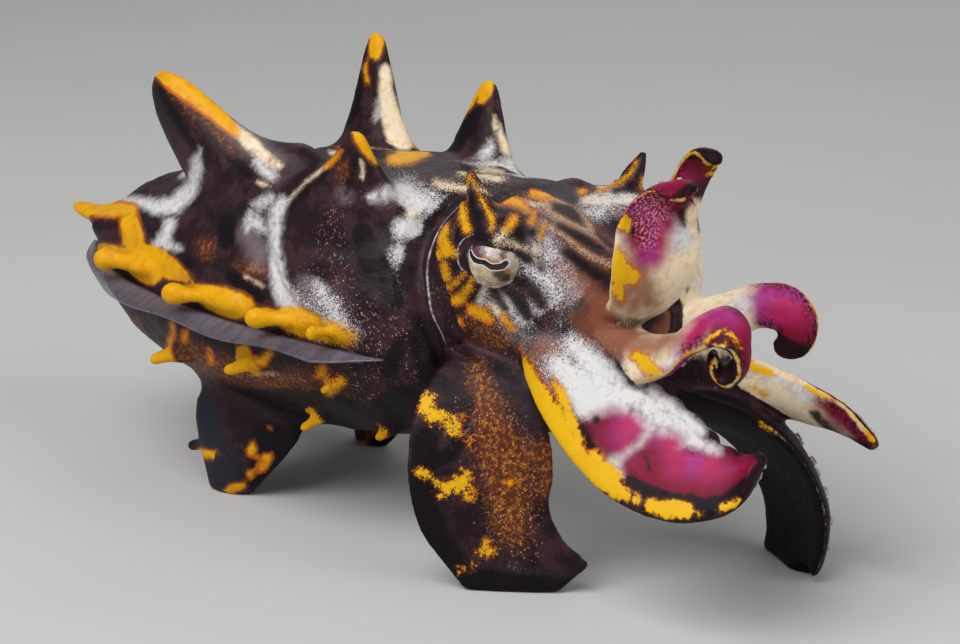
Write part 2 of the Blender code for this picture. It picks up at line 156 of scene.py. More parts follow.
# %% Mantle
MANTLE = [  # x, half width, top, bottom
    (-74.0, 2.0, 25.6, 21.2),
    (-71.5, 5.6, 27.6, 18.6),
    (-66.5, 9.8, 30.4, 14.8),
    (-58.5, 13.6, 33.6, 11.2),
    (-48.0, 16.2, 36.0, 8.8),
    (-37.0, 17.2, 37.2, 7.8),
    (-26.0, 17.0, 37.6, 8.4),
    (-18.0, 15.8, 37.4, 10.2),
    (-13.2, 14.2, 36.8, 12.6),
    (-11.2, 12.4, 35.6, 15.0),
]
FIN_LINE = ((-12.5, 21.4), (-74.0, 23.6))  # x and height of the widest line, at the front and at the tail
MANTLE_POWER = 2.15  # 2 makes the section an oval, and more makes it boxier


def fin_line(x):
    (front, low), (rear, high) = FIN_LINE
    return low + (high - low) * (x - front) / (rear - front)


def boxy(value, power):
    """Turns a circle's share into that of a squarer oval."""
    return math.copysign(abs(value) ** (2 / power), value)


def body_tube(rows, points, power, middle, place):
    tube = Piece()
    for x, wide, top, bottom in smooth_rows(rows, 6):
        line = middle(x)

        def put(c, s):
            high = top - line if s > 0 else line - bottom
            return place(x, boxy(c, power) * wide, line + boxy(s, power) * high)

        tube.ring(x, wide, points, put)
    return tube.close()


pieces["mantle"] = body_tube(MANTLE, 72, MANTLE_POWER, fin_line, lambda x, y, z: Vector((x, y, z)))
print("mantle", len(pieces["mantle"].body.verts), "vertices")

# %% [markdown]
# ## The head
# The head is a second sac, turned a little to the animal's right and nodding down. It has its own frame, so
# that the eyes, the lids and the papillae over them can be given as places on the head.

# %% Head
HEAD_MIDDLE = Vector((-4.6, -2.0, 27.3))
HEAD_TURN = math.radians(-14.0)
HEAD_NOD = math.radians(10.0)
HEAD_POWER = 2.2
HEAD = [  # distance along the head, half width, height above and depth below its middle line
    (-13.0, 8.0, 6.5, -6.5),
    (-11.0, 11.6, 7.6, -8.0),
    (-10.2, 12.9, 8.4, -8.8),
    (-9.2, 13.0, 8.6, -9.1),
    (-7.6, 12.6, 8.4, -9.2),
    (-4.5, 12.4, 8.4, -9.6),
    (-1.5, 11.6, 8.2, -10.0),
    (3.0, 9.6, 7.2, -10.0),
    (7.0, 7.4, 6.4, -9.0),
    (10.5, 5.2, 4.6, -6.8),
    (12.5, 3.0, 2.6, -4.0),
]
head_frame = (Matrix.Translation(HEAD_MIDDLE) @ Matrix.Rotation(HEAD_TURN, 4, "Z")
              @ Matrix.Rotation(-HEAD_NOD, 4, "Y").inverted())


def on_head(along, out, up):
    return head_frame @ Vector((along, out, up))


pieces["head"] = body_tube(HEAD, 64, HEAD_POWER, lambda x: 0.0, on_head)
print("head", len(pieces["head"].body.verts), "vertices")

# %% [markdown]
# ## The eye's place
# Each eye sits on a mound and looks forwards and outwards. A small frame of its own makes the rest easy to
# place: p runs along the slit of the eye to the front, q runs up, and every point is laid on a ball.

# %% The eye's frame
EYE = (-0.99, -9.35, 4.74)  # along the head, out from its middle, up
EYE_RADIUS = 3.3
EYE_LOOKS = (0.74, -0.62, 0.28)  # in the head's own frame
EYE_ROLL = math.radians(7.0)  # how far the slit is turned up in front
eye_out = unit(np.array(EYE_LOOKS))
eye_level = unit(np.cross((0.0, 0.0, 1.0), eye_out))
eye_front = eye_level * math.cos(EYE_ROLL) + np.cross(eye_out, eye_level) * math.sin(EYE_ROLL)
eye_up = np.cross(eye_out, eye_front)
MOUND = (2.6, 5.44)  # how far behind the eye the middle of its mound lies, and the mound's radius
SIDES = {"right": 1, "left": -1}  # the left side is the right one turned over


def on_eye(side, p, q, lift=0.0):
    """The place over the eyeball at p and q from its middle, lift above its surface."""
    radius = EYE_RADIUS + lift
    deep = math.sqrt(max(radius**2 - p**2 - q**2, 0.0))
    along, out, up = np.array(EYE) + eye_front * p + eye_up * q + eye_out * deep
    return on_head(along, SIDES[side] * out, up)


for side, turn in SIDES.items():
    mound = Piece()
    middle = np.array(EYE) - eye_out * MOUND[0]
    made = bmesh.ops.create_uvsphere(mound.body, u_segments=40, v_segments=24, radius=MOUND[1])["verts"]
    for vertex in made:
        vertex.co = on_head(middle[0] + vertex.co.x, turn * middle[1] + vertex.co.y, middle[2] + vertex.co.z)
    faces_outwards(mound.body)
    pieces["mound_" + side] = mound
print("right eye at", [round(n, 1) for n in on_eye("right", 0, 0, -EYE_RADIUS)])

# %% [markdown]
# ## Arms
# Each of the eight arms is a flattened blade laid along a path. Its section is thick in the middle, where the
# muscle is, and thins to a membrane at both edges. "across" is the direction of its width at the root and at
# the tip, and "cup" bends both edges back, which makes a gutter of it.

# %% Blade
EDGE_THICK = 0.3
ARM_POINTS = 44
ARM_STEPS = 7  # rings from one row of numbers to the next
ROUND_OFF = 0.5  # the share of a half turn over which the edge rounds off
FULL_CUP = 5.0  # half width from which a blade cups fully


def blade(path, half_width, half_thick, across, cup, points=ARM_POINTS):
    rows = smooth_rows([(*place, w, t) for place, w, t in zip(path, half_width, half_thick)], ARM_STEPS)
    last = len(rows) - 1
    knots = np.linspace(0, last, len(across))
    sides = np.stack([np.interp(range(last + 1), knots, part) for part in np.array(across, float).T], 1)
    arm = Piece()
    run = 0.0
    for k, row in enumerate(rows):
        centre, wide, thick = row[:3], row[3], row[4]
        ahead = unit(rows[min(k + 1, last)][:3] - rows[max(k - 1, 0)][:3])
        side = unit(sides[k] - ahead * sides[k].dot(ahead))
        outward = np.cross(side, ahead)
        if k:
            run += np.linalg.norm(centre - rows[k - 1][:3])

        def put(c, s):
            bend = cup * c * c * min(wide / FULL_CUP, 1.0)
            lens = EDGE_THICK + max(thick - EDGE_THICK, 0.0) * (1 - c * c)
            lift = math.copysign(min(abs(s) / ROUND_OFF, 1.0), s) * lens
            return Vector(centre + side * (wide * c) + outward * (lift - bend))

        arm.ring(run, wide, points, put)
        arm.frames.append((run, centre, side, outward, wide, thick))
    arm.length = run
    return arm.close()


# %% Arms
ARMS = {
    "arm_1_right": dict(
        path=[(1.0, -4.5, 28.0), (5.4, -7.6, 28.4), (8.9, -8.8, 30.2), (10.5, -9.3, 33.1), (11.1, -9.4, 36.0),
              (11.5, -9.3, 39.2), (13.2, -9.0, 41.9), (15.3, -8.8, 41.6)],
        half_width=[2.6, 3.2, 3.6, 4.4, 4.7, 4.4, 3.1, 1.2],
        half_thick=[2.0, 2.0, 1.8, 1.6, 1.3, 1.1, 0.8, 0.5],
        across=((0.55, 0.80, 0.10), (0.45, 0.85, 0.10)), cup=-1.2),
    "arm_1_left": dict(
        path=[(3.0, -0.5, 27.0), (6.0, 0.6, 28.6), (7.0, 0.8, 31.0), (6.5, 1.2, 34.4), (6.4, 1.8, 38.0),
              (7.6, 2.2, 41.2), (9.2, 2.2, 42.9), (10.4, 2.0, 42.0)],
        half_width=[2.6, 3.0, 2.6, 2.2, 2.2, 2.2, 1.9, 0.9],
        half_thick=[2.0, 2.0, 1.7, 1.4, 1.1, 0.9, 0.7, 0.5],
        across=((0.30, 0.95, 0.0), (0.55, 0.80, -0.3)), cup=-1.0),
    "arm_2_right": dict(
        path=[(1.5, -7.5, 26.5), (6.5, -10.2, 26.2), (11.4, -11.6, 25.8), (16.0, -12.4, 27.2), (18.8, -12.6, 29.6),
              (21.4, -12.4, 30.7), (23.4, -12.2, 29.4), (23.6, -12.2, 27.2), (22.2, -12.2, 25.9), (20.6, -12.4, 26.6),
              (20.7, -12.6, 28.0)],
        half_width=[2.4, 2.9, 3.1, 3.2, 2.9, 2.8, 2.6, 2.3, 2.0, 1.7, 1.1],
        half_thick=[2.2, 2.2, 1.8, 1.4, 1.1, 0.9, 0.8, 0.75, 0.7, 0.65, 0.5],
        across=((0.25, 0.75, 0.60), (0.25, 0.78, 0.57), (-0.2, 0.8, 0.5), (-0.6, 0.73, 0.3), (-0.6, 0.73, 0.3)),
        cup=-0.9),
    "arm_2_left": dict(
        path=[(4.0, -0.5, 24.6), (9.2, 1.2, 25.6), (12.0, 2.4, 27.0), (14.6, 3.4, 28.3), (17.0, 3.9, 28.4),
              (18.6, 4.2, 27.2), (18.7, 4.2, 25.5), (17.7, 4.2, 24.3), (16.4, 4.2, 23.9)],
        half_width=[2.4, 2.8, 2.6, 2.5, 2.5, 2.4, 2.2, 1.7, 0.9],
        half_thick=[2.2, 2.0, 1.6, 1.3, 1.1, 0.9, 0.8, 0.7, 0.5],
        across=((0.5, 0.60, -0.65), (0.55, -0.2, -0.8), (0.45, -0.45, -0.75), (-0.5, -0.2, -0.7), (-0.9, -0.1, 0.1),
                (-0.6, -0.2, 0.8)), cup=0.8),
    "arm_3_right": dict(
        path=[(-2.0, -7.6, 25.4), (2.1, -10.9, 23.4), (8.2, -13.6, 20.0), (14.4, -14.9, 16.8), (20.1, -14.7, 15.4),
              (24.8, -13.4, 16.7), (26.8, -12.7, 19.2)],
        half_width=[4.0, 4.5, 5.0, 5.0, 4.3, 3.2, 0.8],
        half_thick=[2.6, 2.8, 2.5, 2.1, 1.7, 1.2, 0.6],
        across=((0.335, 0.535, 0.77), (0.20, 0.55, 0.80)), cup=1.6),
    "arm_3_left": dict(
        path=[(3.5, -1.0, 21.6), (8.4, 1.6, 20.6), (13.6, 4.2, 19.4), (18.8, 5.8, 18.2), (23.4, 6.6, 17.0),
              (26.8, 6.8, 15.2)],
        half_width=[3.4, 3.8, 4.0, 3.9, 3.1, 1.3],
        half_thick=[2.2, 2.2, 1.8, 1.5, 1.2, 0.6],
        across=((-0.20, -0.60, 0.77), (-0.10, -0.75, 0.65)), cup=-1.2),
    "arm_4_right": dict(
        path=[(-4.6, -7.8, 21.4), (-6.0, -11.8, 19.8), (-5.6, -14.6, 16.6), (-4.7, -15.9, 12.2), (-4.0, -16.1, 8.4),
              (-2.6, -15.3, 5.0), (-0.6, -14.2, 1.8), (1.8, -12.9, -1.0)],
        half_width=[3.6, 5.3, 6.9, 7.5, 7.1, 6.2, 5.7, 5.8],
        half_thick=[2.4, 2.2, 1.8, 1.5, 1.4, 1.4, 1.6, 1.6],
        across=((0.88, 0.47, 0.0), (0.84, 0.54, 0.0), (0.84, 0.54, 0.0), (0.84, 0.54, 0.0), (0.84, 0.54, -0.35)),
        cup=1.5),
    "arm_4_left": dict(
        path=[(3.4, -0.4, 19.4), (7.6, 2.2, 18.2), (11.8, 5.2, 16.2), (15.0, 8.0, 12.2), (16.8, 9.5, 7.4),
              (17.1, 9.7, 2.8), (16.6, 9.0, -0.6), (17.2, 7.6, -1.8)],
        half_width=[3.4, 4.2, 6.2, 7.6, 7.8, 7.0, 5.4, 3.0],
        half_thick=[2.4, 2.2, 1.8, 1.5, 1.4, 1.4, 1.6, 1.6],
        across=((0.62, -0.55, 0.55), (0.88, -0.47, 0.0)), cup=1.4),
}
for name, shape in ARMS.items():
    pieces[name] = blade(**shape)
    print(name, round(pieces[name].length, 1), "mm long")

# %% [markdown]
# ## Lobes under the belly
# The animal has no legs. It walks on its lower arms and on this pair of skin lobes, one each side.

# %% Lobes
LOBE = dict(
    path=[(-42.6, -7.6, 13.0), (-43.0, -9.2, 9.6), (-43.6, -10.6, 6.2), (-44.2, -11.2, 3.0), (-44.6, -11.4, 0.6),
          (-44.6, -11.2, -1.4)],
    half_width=[9.8, 8.6, 6.8, 4.6, 3.0, 2.4],
    half_thick=[2.2, 2.1, 1.9, 1.7, 1.6, 1.5],
    across=((1.0, 0.0, 0.0), (0.97, 0.25, 0.0)), cup=0.6)


def mirrored(point):
    return (point[0], -point[1], point[2])


PLACED = {"right": tuple, "left": mirrored}  # places are given for the right side and turned over for the left
for side, place in PLACED.items():
    other = dict(path=[place(row) for row in LOBE["path"]], across=[place(row) for row in LOBE["across"]],
                 cup=SIDES[side] * LOBE["cup"])
    pieces["lobe_" + side] = blade(**dict(LOBE, **other))
print("lobes", round(pieces["lobe_right"].length, 1), "mm long")

# %% [markdown]
# ## Papillae
# Muscles under the skin pull it up into spikes called papillae. A tall one is a wide flared foot that closes
# in fast and then tapers to a blunt tip, so its rings follow one curve of widths.


# %% Spikes
STOUT = [(-0.5, 1.0), (-0.3, 1.06), (-0.14, 1.06), (-0.05, 1.04), (0.0, 1.0), (0.06, 0.88), (0.14, 0.74),
         (0.25, 0.62), (0.38, 0.53), (0.52, 0.46), (0.66, 0.40), (0.8, 0.32), (0.9, 0.23), (0.96, 0.15),
         (1.0, 0.04)]  # step to the tip, share of the foot
SLIM = [(-0.55, 1.0), (-0.3, 1.08), (-0.14, 1.08), (-0.05, 1.07), (0.0, 1.0), (0.05, 0.81), (0.12, 0.61),
        (0.22, 0.45), (0.35, 0.34), (0.5, 0.27), (0.65, 0.215), (0.8, 0.16), (0.9, 0.12), (0.96, 0.085), (1.0, 0.03)]
TENT = [(-0.55, 1.0), (-0.3, 1.06), (-0.14, 1.05), (-0.05, 1.03), (0.0, 1.0), (0.05, 0.95), (0.12, 0.86),
        (0.22, 0.73), (0.35, 0.57), (0.5, 0.41), (0.65, 0.29), (0.8, 0.20), (0.9, 0.14), (0.96, 0.095), (1.0, 0.03)]
RIBS = 5
STEEP = 0.8  # past this slope to the front, a papilla measures its length upwards


def spike(base, tip, half_long, half_wide, shape=SLIM, bend=0.0, rib=0.05, points=36):
    base, tip = np.array(base, float), np.array(tip, float)
    ahead = unit(tip - base)
    forward = np.array((1.0, 0.0, 0.0)) if abs(ahead[0]) < STEEP else np.array((0.0, 0.0, 1.0))
    back = unit(forward - ahead * forward.dot(ahead))
    side = np.cross(ahead, back)
    length = np.linalg.norm(tip - base)
    cone = Piece()
    for t, share in smooth_rows(shape, 2):
        centre = base + (tip - base) * t + back * (bend * 4 * t * (1 - t))

        def put(c, s):
            turn = math.atan2(s, c)
            out = share * (1 + rib * math.sin(RIBS * turn + 1.0))
            return Vector(centre + back * (half_long * out * c) + side * (half_wide * out * s))

        cone.ring(t * length, half_long * share, points, put)
    cone.length = length
    return cone.close()


TALL_PAPILLAE = {  # base, tip, half length and half width of the foot, outline, bend
    "papilla_rear_right": ((-42.6, -8.8, 32.8), (-55.0, -11.3, 45.7), 10.2, 5.8, STOUT, -0.4),
    "papilla_rear_left": ((-41.2, 9.0, 33.6), (-42.6, 11.0, 49.0), 11.4, 5.8, SLIM, 0.0),
    "papilla_mid_right": ((-26.2, -10.4, 33.4), (-23.6, -13.0, 43.4), 10.4, 5.4, TENT, 0.0),
    "papilla_mid_left": ((-26.6, 9.4, 33.8), (-26.4, 11.4, 45.2), 12.2, 5.4, SLIM, 0.0),
}
for name, row in TALL_PAPILLAE.items():
    pieces[name] = spike(*row)
    print(name, round(pieces[name].length, 1), "mm high")

# %% Papillae over the eyes and at the tail
BROWS = {  # base and tip on the head, half length and half width of the foot
    "brow_right": ((-4.0, -8.0, 6.2), (-6.7, -9.5, 12.6), 5.6, 4.0),
    "brow_left": ((-3.8, 8.0, 6.2), (-4.3, 11.4, 12.8), 6.0, 3.2),
    "bump_right": ((-3.0, -4.4, 7.2), (-3.0, -4.8, 9.7), 3.0, 2.0),
    "bump_left": ((-3.2, 4.2, 7.2), (-3.4, 4.6, 9.6), 3.0, 2.0),
}
for name, (base, tip, long, wide) in BROWS.items():
    pieces[name] = spike(on_head(*base), on_head(*tip), long, wide)
TAILS = {  # base and tip
    "tail_right": ((-65.6, -7.6, 26.8), (-76.4, -5.0, 27.1)),
    "tail_left": ((-65.6, 7.4, 26.8), (-76.0, 6.2, 27.1)),
}
for name, (base, tip) in TAILS.items():
    pieces[name] = spike(base, tip, 2.1, 4.2, STOUT, rib=0)
OVAL = 0.8  # how wide the foot of a small papilla is for its length
BACK_BUMPS = [  # base, tip and radius of the foot
    ((-56.0, -5.0, 33.4), (-56.8, -5.4, 36.0), 1.8),
    ((-55.0, 6.0, 33.4), (-56.0, 6.6, 36.2), 2.0),
    ((-61.5, 5.5, 31.4), (-63.0, 6.2, 34.2), 1.8),
    ((-33.5, -1.0, 36.6), (-33.8, -1.0, 38.4), 1.6),
    ((-20.0, 6.5, 36.2), (-20.2, 6.8, 38.2), 1.4),
    ((-47.0, 1.0, 35.4), (-47.6, 1.0, 37.6), 1.6),
]
for number, (base, tip, radius) in enumerate(BACK_BUMPS, 1):
    pieces[f"back_{number}"] = spike(base, tip, radius, radius * OVAL, points=20)
print(len(BROWS) + len(TAILS) + len(BACK_BUMPS), "smaller papillae")

# %% [markdown]
# ## Clubs over the fins, and small papillae under the body
# Over each fin runs a row of low, fat papillae like knobbly fingers that point to the tail. Below it are
# small ones with yellow tips. Both are laid on the mantle's own surface, so they need to know how far it
# reaches at each place.


# %% Clubs
MANTLE_ROWS = smooth_rows(MANTLE, 8)


def mantle_reach(x, z):
    """How far the mantle reaches from its middle plane at this place."""
    wide, top, bottom = (float(np.interp(x, MANTLE_ROWS[:, 0], MANTLE_ROWS[:, column])) for column in (1, 2, 3))
    high = top - fin_line(x) if z > fin_line(x) else fin_line(x) - bottom
    share = min(abs(z - fin_line(x)) / high, 0.999)
    return wide * (1 - share**MANTLE_POWER) ** (1 / MANTLE_POWER)


CLUBS = [  # x and height of the knob, length, size
    (-59.6, 24.8, 8.4, 1.16), (-44.9, 23.9, 9.2, 1.02), (-32.1, 23.6, 7.2, 0.95), (-24.6, 23.2, 3.6, 0.72)]
CLUB_SHAPE = [(-0.155, 2.5, 0.5), (-0.10, 2.5, 1.05), (0.0, 2.2, 1.28), (0.12, 1.5, 0.9), (0.3, 0.7, 0.80),
              (0.6, 0.0, 1.05), (0.9, -0.6, 0.9), (1.15, -1.5, 0.3)]  # step along, height over the skin, radius
for number, (x, z, length, radius) in enumerate(CLUBS, 1):
    for side, turn in SIDES.items():
        path = []
        for step, lift, _ in CLUB_SHAPE:
            place = x + step * length
            height = z + fin_line(place) - fin_line(x)
            path.append((place, -turn * (mantle_reach(place, height) + lift), height))
        size = [radius * share for _, _, share in CLUB_SHAPE]
        pieces[f"club_{number}_{side}"] = blade(path, size, size, ((0, 0, 1), (0, 0, 1)), 0.0, points=24)
print(2 * len(CLUBS), "clubs")

# %% Small papillae under the body
BELLY_PAPILLAE = [  # base, tip and radius of the foot, on the right side
    ((-48.8, -14.4, 16.0), (-52.2, -16.8, 14.6), 1.7),
    ((-34.8, -15.8, 18.0), (-39.2, -18.2, 16.0), 1.5),
    ((-24.0, -15.8, 17.6), (-25.2, -17.8, 16.2), 1.1),
    ((-28.8, -12.4, 12.4), (-32.2, -13.8, 9.8), 1.3),
    ((-21.0, -11.0, 12.0), (-22.4, -12.4, 10.4), 1.2),
]
FINGER = [(-0.4, 0.9), (0.0, 1.0), (0.25, 0.74), (0.5, 0.56), (0.72, 0.52), (0.84, 0.42), (0.91, 0.2)]
LOBE_TIP = ((-48.0, -11.0, 4.8), (-51.4, -12.0, 3.8))
for number, (base, tip, radius) in enumerate(BELLY_PAPILLAE, 1):
    for side, place in PLACED.items():
        pieces[f"belly_{number}_{side}"] = spike(place(base), place(tip), radius, radius * OVAL, FINGER, points=16)
for side, place in PLACED.items():
    pieces["lobe_tip_" + side] = spike(place(LOBE_TIP[0]), place(LOBE_TIP[1]), 1.5, 1.1, FINGER, points=20)
print(2 * len(BELLY_PAPILLAE), "papillae under the body")

# %% [markdown]
# ## Knobs on the front arm
# The upper edge of the wide front arm is scalloped, with a row of low white knobs.

# %% Knobs
KNOBS = [(0.46, 1.5), (0.57, 1.9), (0.67, 1.9), (0.77, 1.5)]  # share of the arm's length, radius
KNOB_IN, KNOB_BACK = 0.2, 0.4  # mm inside the edge, and behind the middle of the blade
front_arm = pieces["arm_3_right"]
for number, (share, radius) in enumerate(KNOBS, 1):
    row = min(front_arm.frames, key=lambda frame: abs(frame[0] - share * front_arm.length))
    _, centre, across, outward, wide, _ = row
    knob = Piece()
    place = Vector(centre + across * (wide - KNOB_IN) - outward * KNOB_BACK)
    bmesh.ops.create_uvsphere(knob.body, u_segments=20, v_segments=14, radius=radius,
                              matrix=Matrix.Translation(place))
    bmesh.ops.triangulate(knob.body, faces=knob.body.faces)
    pieces[f"knob_{number}"] = knob
print(len(KNOBS), "knobs")

# %% [markdown]
# ## Eyelids
# A thick upper lid hangs over the eye like a hood, and a thinner roll of skin runs below it. Both are short
# tubes laid over the eyeball, and they melt into the head later.


# %% Lids
def roll(places, radii):
    """A tube of round section through a few places."""
    rows = smooth_rows([(*place, radius) for place, radius in zip(places, radii)], 6)
    tube = Piece()
    for k, row in enumerate(rows):
        ahead = unit(rows[min(k + 1, len(rows) - 1)][:3] - rows[max(k - 1, 0)][:3])
        side = unit(np.cross(ahead, (0.1, 0.3, 1.0)))
        over = np.cross(ahead, side)
        tube.ring(k, row[3], 14, lambda c, s: Vector(row[:3] + row[3] * (side * c + over * s)))
    return tube.close()


LIDS = {  # p, q, lift and radius
    "upper": [(-3.1, 1.8, -1.3, 0.5), (-2.3, 2.5, -0.2, 0.8), (-1.0, 2.75, 0.25, 0.95), (0.5, 2.45, 0.3, 0.95),
              (1.9, 1.95, 0.15, 0.8), (2.95, 1.1, -0.5, 0.5)],
    "lower": [(-3.2, 0.4, -1.3, 0.4), (-2.8, -1.3, -0.9, 0.45), (-1.7, -2.45, -0.75, 0.5), (0.0, -2.85, -0.75, 0.5),
              (1.7, -2.45, -0.75, 0.5), (2.8, -1.3, -0.9, 0.45), (3.1, 0.3, -1.2, 0.4)],
}
for side in SIDES:
    for name, rows in LIDS.items():
        pieces[f"lid_{name}_{side}"] = roll([on_eye(side, *row[:3]) for row in rows], [row[3] for row in rows])
print(2 * len(LIDS), "eyelids")

# %% [markdown]
# ## Funnel
# The funnel is the nozzle of the water jet. It sticks out from under the head and points forward.

# %% Funnel
FUNNEL = [(-17.0, 4.6), (-10.0, 4.4), (-4.0, 3.4), (0.5, 2.5)]  # x and radius
FUNNEL_MIDDLE = (-1.5, 16.0)  # y and z
FUNNEL_FLAT = 1.2  # how much wider it is than high
funnel = Piece()
for x, radius in smooth_rows(FUNNEL, 6):
    funnel.ring(x, radius, 28, lambda c, s: Vector((x, FUNNEL_MIDDLE[0] + FUNNEL_FLAT * radius * c,
                                                    FUNNEL_MIDDLE[1] + radius * s)))
pieces["funnel"] = funnel.close()
print(len(pieces), "pieces under the skin")

# %% [markdown]
# ## Feet on the floor
# The lower arms and the lobes press on the sea floor, so each ends in a flat sole. A plane cuts it off, and
# the open ring is filled with a face.

# %% Soles
for name in ("arm_4_right", "arm_4_left", "lobe_right", "lobe_left"):
    body = pieces[name].body
    bmesh.ops.bisect_plane(body, geom=body.verts[:] + body.edges[:] + body.faces[:], dist=0.0001,
                           plane_co=(0, 0, 0), plane_no=(0, 0, 1), clear_inner=True)
    rim = [edge for edge in body.edges if edge.is_boundary]
    bmesh.ops.contextual_create(body, geom=rim)
    faces_outwards(body)
    print(name, "stands on", len(rim), "edges")

# %% [markdown]
# ## One skin over everything
# The pieces overlap each other, as lumps of clay do. A voxel remesh melts them into one closed surface, as a
# sculptor's "dynamic mesh" does. It's done in millimetres, with voxels of a quarter of one.

# %% Melt the pieces together
VOXEL = 0.24


def placed(name, data):
    """A new object of the scene with this mesh, lamp or camera."""
    obj = bpy.data.objects.new(name, data)
    bpy.context.scene.collection.objects.link(obj)
    return obj


def baked(obj):
    """The object's mesh with its modifiers applied."""
    graph = bpy.context.evaluated_depsgraph_get()
    mesh = bpy.data.meshes.new_from_object(obj.evaluated_get(graph))
    obj.modifiers.clear()
    obj.data = mesh
    return obj


def melted(obj):
    melt = obj.modifiers.new("melt", "REMESH")
    melt.mode = "VOXEL"
    melt.voxel_size = VOXEL
    return baked(obj)


lump = bmesh.new()
for piece in pieces.values():
    part = bpy.data.meshes.new("part")
    piece.body.to_mesh(part)
    lump.from_mesh(part)
    bpy.data.meshes.remove(part)
data = bpy.data.meshes.new("skin")
lump.to_mesh(data)
lump.free()
skin = melted(placed("skin", data))
print("skin", len(skin.data.vertices), "vertices,", len(skin.data.polygons), "faces")

# %% [markdown]
# ## Where each point of the skin came from
# Shaping and paint are easier to place on one arm than on the whole animal, so each vertex of the skin looks
# up the nearest point of every piece close to it and takes over its place there.

# %% Look up the pieces
NEAR = 3.0
FAR = 99.0
trees = {}
for name, piece in pieces.items():
    body = piece.body
    body.verts.index_update()
    layers = (piece.along, piece.across, piece.face, piece.wide)
    trees[name] = (BVHTree.FromBMesh(body), np.array([[v.index for v in face.verts] for face in body.faces]),
                   np.array([v.co for v in body.verts]),
                   np.array([[v[layer] for layer in layers] for v in body.verts]))


def look_up(points):
    """How far each point is from each piece, and its place along, across and round that piece."""
    distance, places = {}, {}
    for name, (tree, corners, at, known) in trees.items():
        low, high = at.min(0) - NEAR, at.max(0) + NEAR
        close = np.nonzero(((points > low) & (points < high)).all(1))[0]
        found = [tree.find_nearest(points[i], NEAR) for i in close]
        hit = np.array([f[0] is not None for f in found], bool)
        close = close[hit]
        found = [f for f in found if f[0] is not None]
        distance[name] = np.full(len(points), FAR)
        places[name] = np.zeros((len(points), 4))
        if not found:
            continue
        spot = np.array([f[0] for f in found])
        tri = corners[[f[2] for f in found]]
        a, b, c = at[tri[:, 0]], at[tri[:, 1]], at[tri[:, 2]]
        whole = np.linalg.norm(np.cross(b - a, c - a), axis=1) + 1e-12
        share_a = np.linalg.norm(np.cross(b - spot, c - spot), axis=1) / whole
        share_b = np.linalg.norm(np.cross(c - spot, a - spot), axis=1) / whole
        shares = np.stack([share_a, share_b, np.maximum(1 - share_a - share_b, 0)], 1)[:, :, None]
        distance[name][close] = [f[3] for f in found]
        places[name][close] = (known[tri] * shares).sum(1)
    return distance, places


def mesh_points(mesh):
    points = np.empty(len(mesh.vertices) * 3)
    mesh.vertices.foreach_get("co", points)
    edges = np.empty(len(mesh.edges) * 2, int)
    mesh.edges.foreach_get("vertices", edges)
    return points.reshape(-1, 3), edges.reshape(-1, 2)


def nearest_of(names):
    """How far each point is from the nearest of these pieces."""
    return np.min([distance[name] for name in names], axis=0)


points, edges = mesh_points(skin.data)
distance, places = look_up(points)
order = np.sort(np.stack(list(distance.values())), axis=0)
JOIN = 1.2  # two pieces join where the second nearest is at most this much farther than the nearest
join = np.clip(JOIN - (order[1] - order[0]), 0, 1)
near_body = nearest_of(("mantle", "head", "mound_right", "mound_left"))
FLARES = {"papilla": 2.0, "lobe": 1.6, "tail": 1.6, "brow": 0.7, "bump": 0.7, "back": 0.4}  # how wide a foot flares
FLARE_FROM = 1.6
wide_join = np.zeros(len(points))
for start, reach in FLARES.items():
    near_foot = nearest_of([name for name in pieces if name.startswith(start)])
    wide_join = np.maximum(wide_join, np.clip(FLARE_FROM - np.maximum(near_foot, near_body) / reach, 0, 1))
print("looked up", len(points), "points;", int((join > 0.5).sum()), "of them at joins")

# %% [markdown]
# ## Smoothing the joins
# Real skin has a fillet wherever two parts meet. Every point near a join moves to the middle of its
# neighbours, again and again, while the rest of the skin is smoothed only a little, to lose the voxels. The
# foot of a papilla flares wide, so its join takes many more rounds than that of an arm.


# %% Smooth
def neighbour_mean(values):
    count = np.bincount(edges.ravel(), minlength=len(values)).astype(float)
    total = np.stack([np.bincount(edges[:, 0], part[edges[:, 1]], len(values))
                      + np.bincount(edges[:, 1], part[edges[:, 0]], len(values))
                      for part in values.reshape(len(values), -1).T], 1)
    return (total / count[:, None]).reshape(values.shape)


SOFTEN, SOFT_SHARE = 4, 0.5  # rounds for the whole skin, and how far a point moves to its neighbours' middle
FILLET, FILLET_SHARE = 16, 0.6  # the same for the joins
FLARE, FLARE_SHARE = 150, 0.9  # and for the feet of the papillae
for number in range(FLARE):
    share = wide_join * FLARE_SHARE
    if number < SOFTEN:
        share = np.maximum(share, SOFT_SHARE)
    if number < FILLET:
        share = np.maximum(share, FILLET_SHARE * join)
    points += (neighbour_mean(points) - points) * share[:, None]
skin.data.vertices.foreach_set("co", points.ravel())
skin.data.update()
skin = melted(skin)  # so many rounds crowd the vertices at the feet, and a second melting spreads them evenly
points, edges = mesh_points(skin.data)
for number in range(SOFTEN):
    points += (neighbour_mean(points) - points) * SOFT_SHARE
distance, places = look_up(points)
print("smoothed", len(points), "points")

# %% [markdown]
# ## The sheet the markings are drawn on
# The swellings and the paint follow a drawing. Think of a clear sheet held up in front of the animal: a mark
# on it falls on the skin where the line of sight through it first lands. The sheet has the shape of the
# camera's frame, 960 by 644, and on the animal ten of its units are about a millimetre. The other side of the
# body uses the same drawing, turned over.

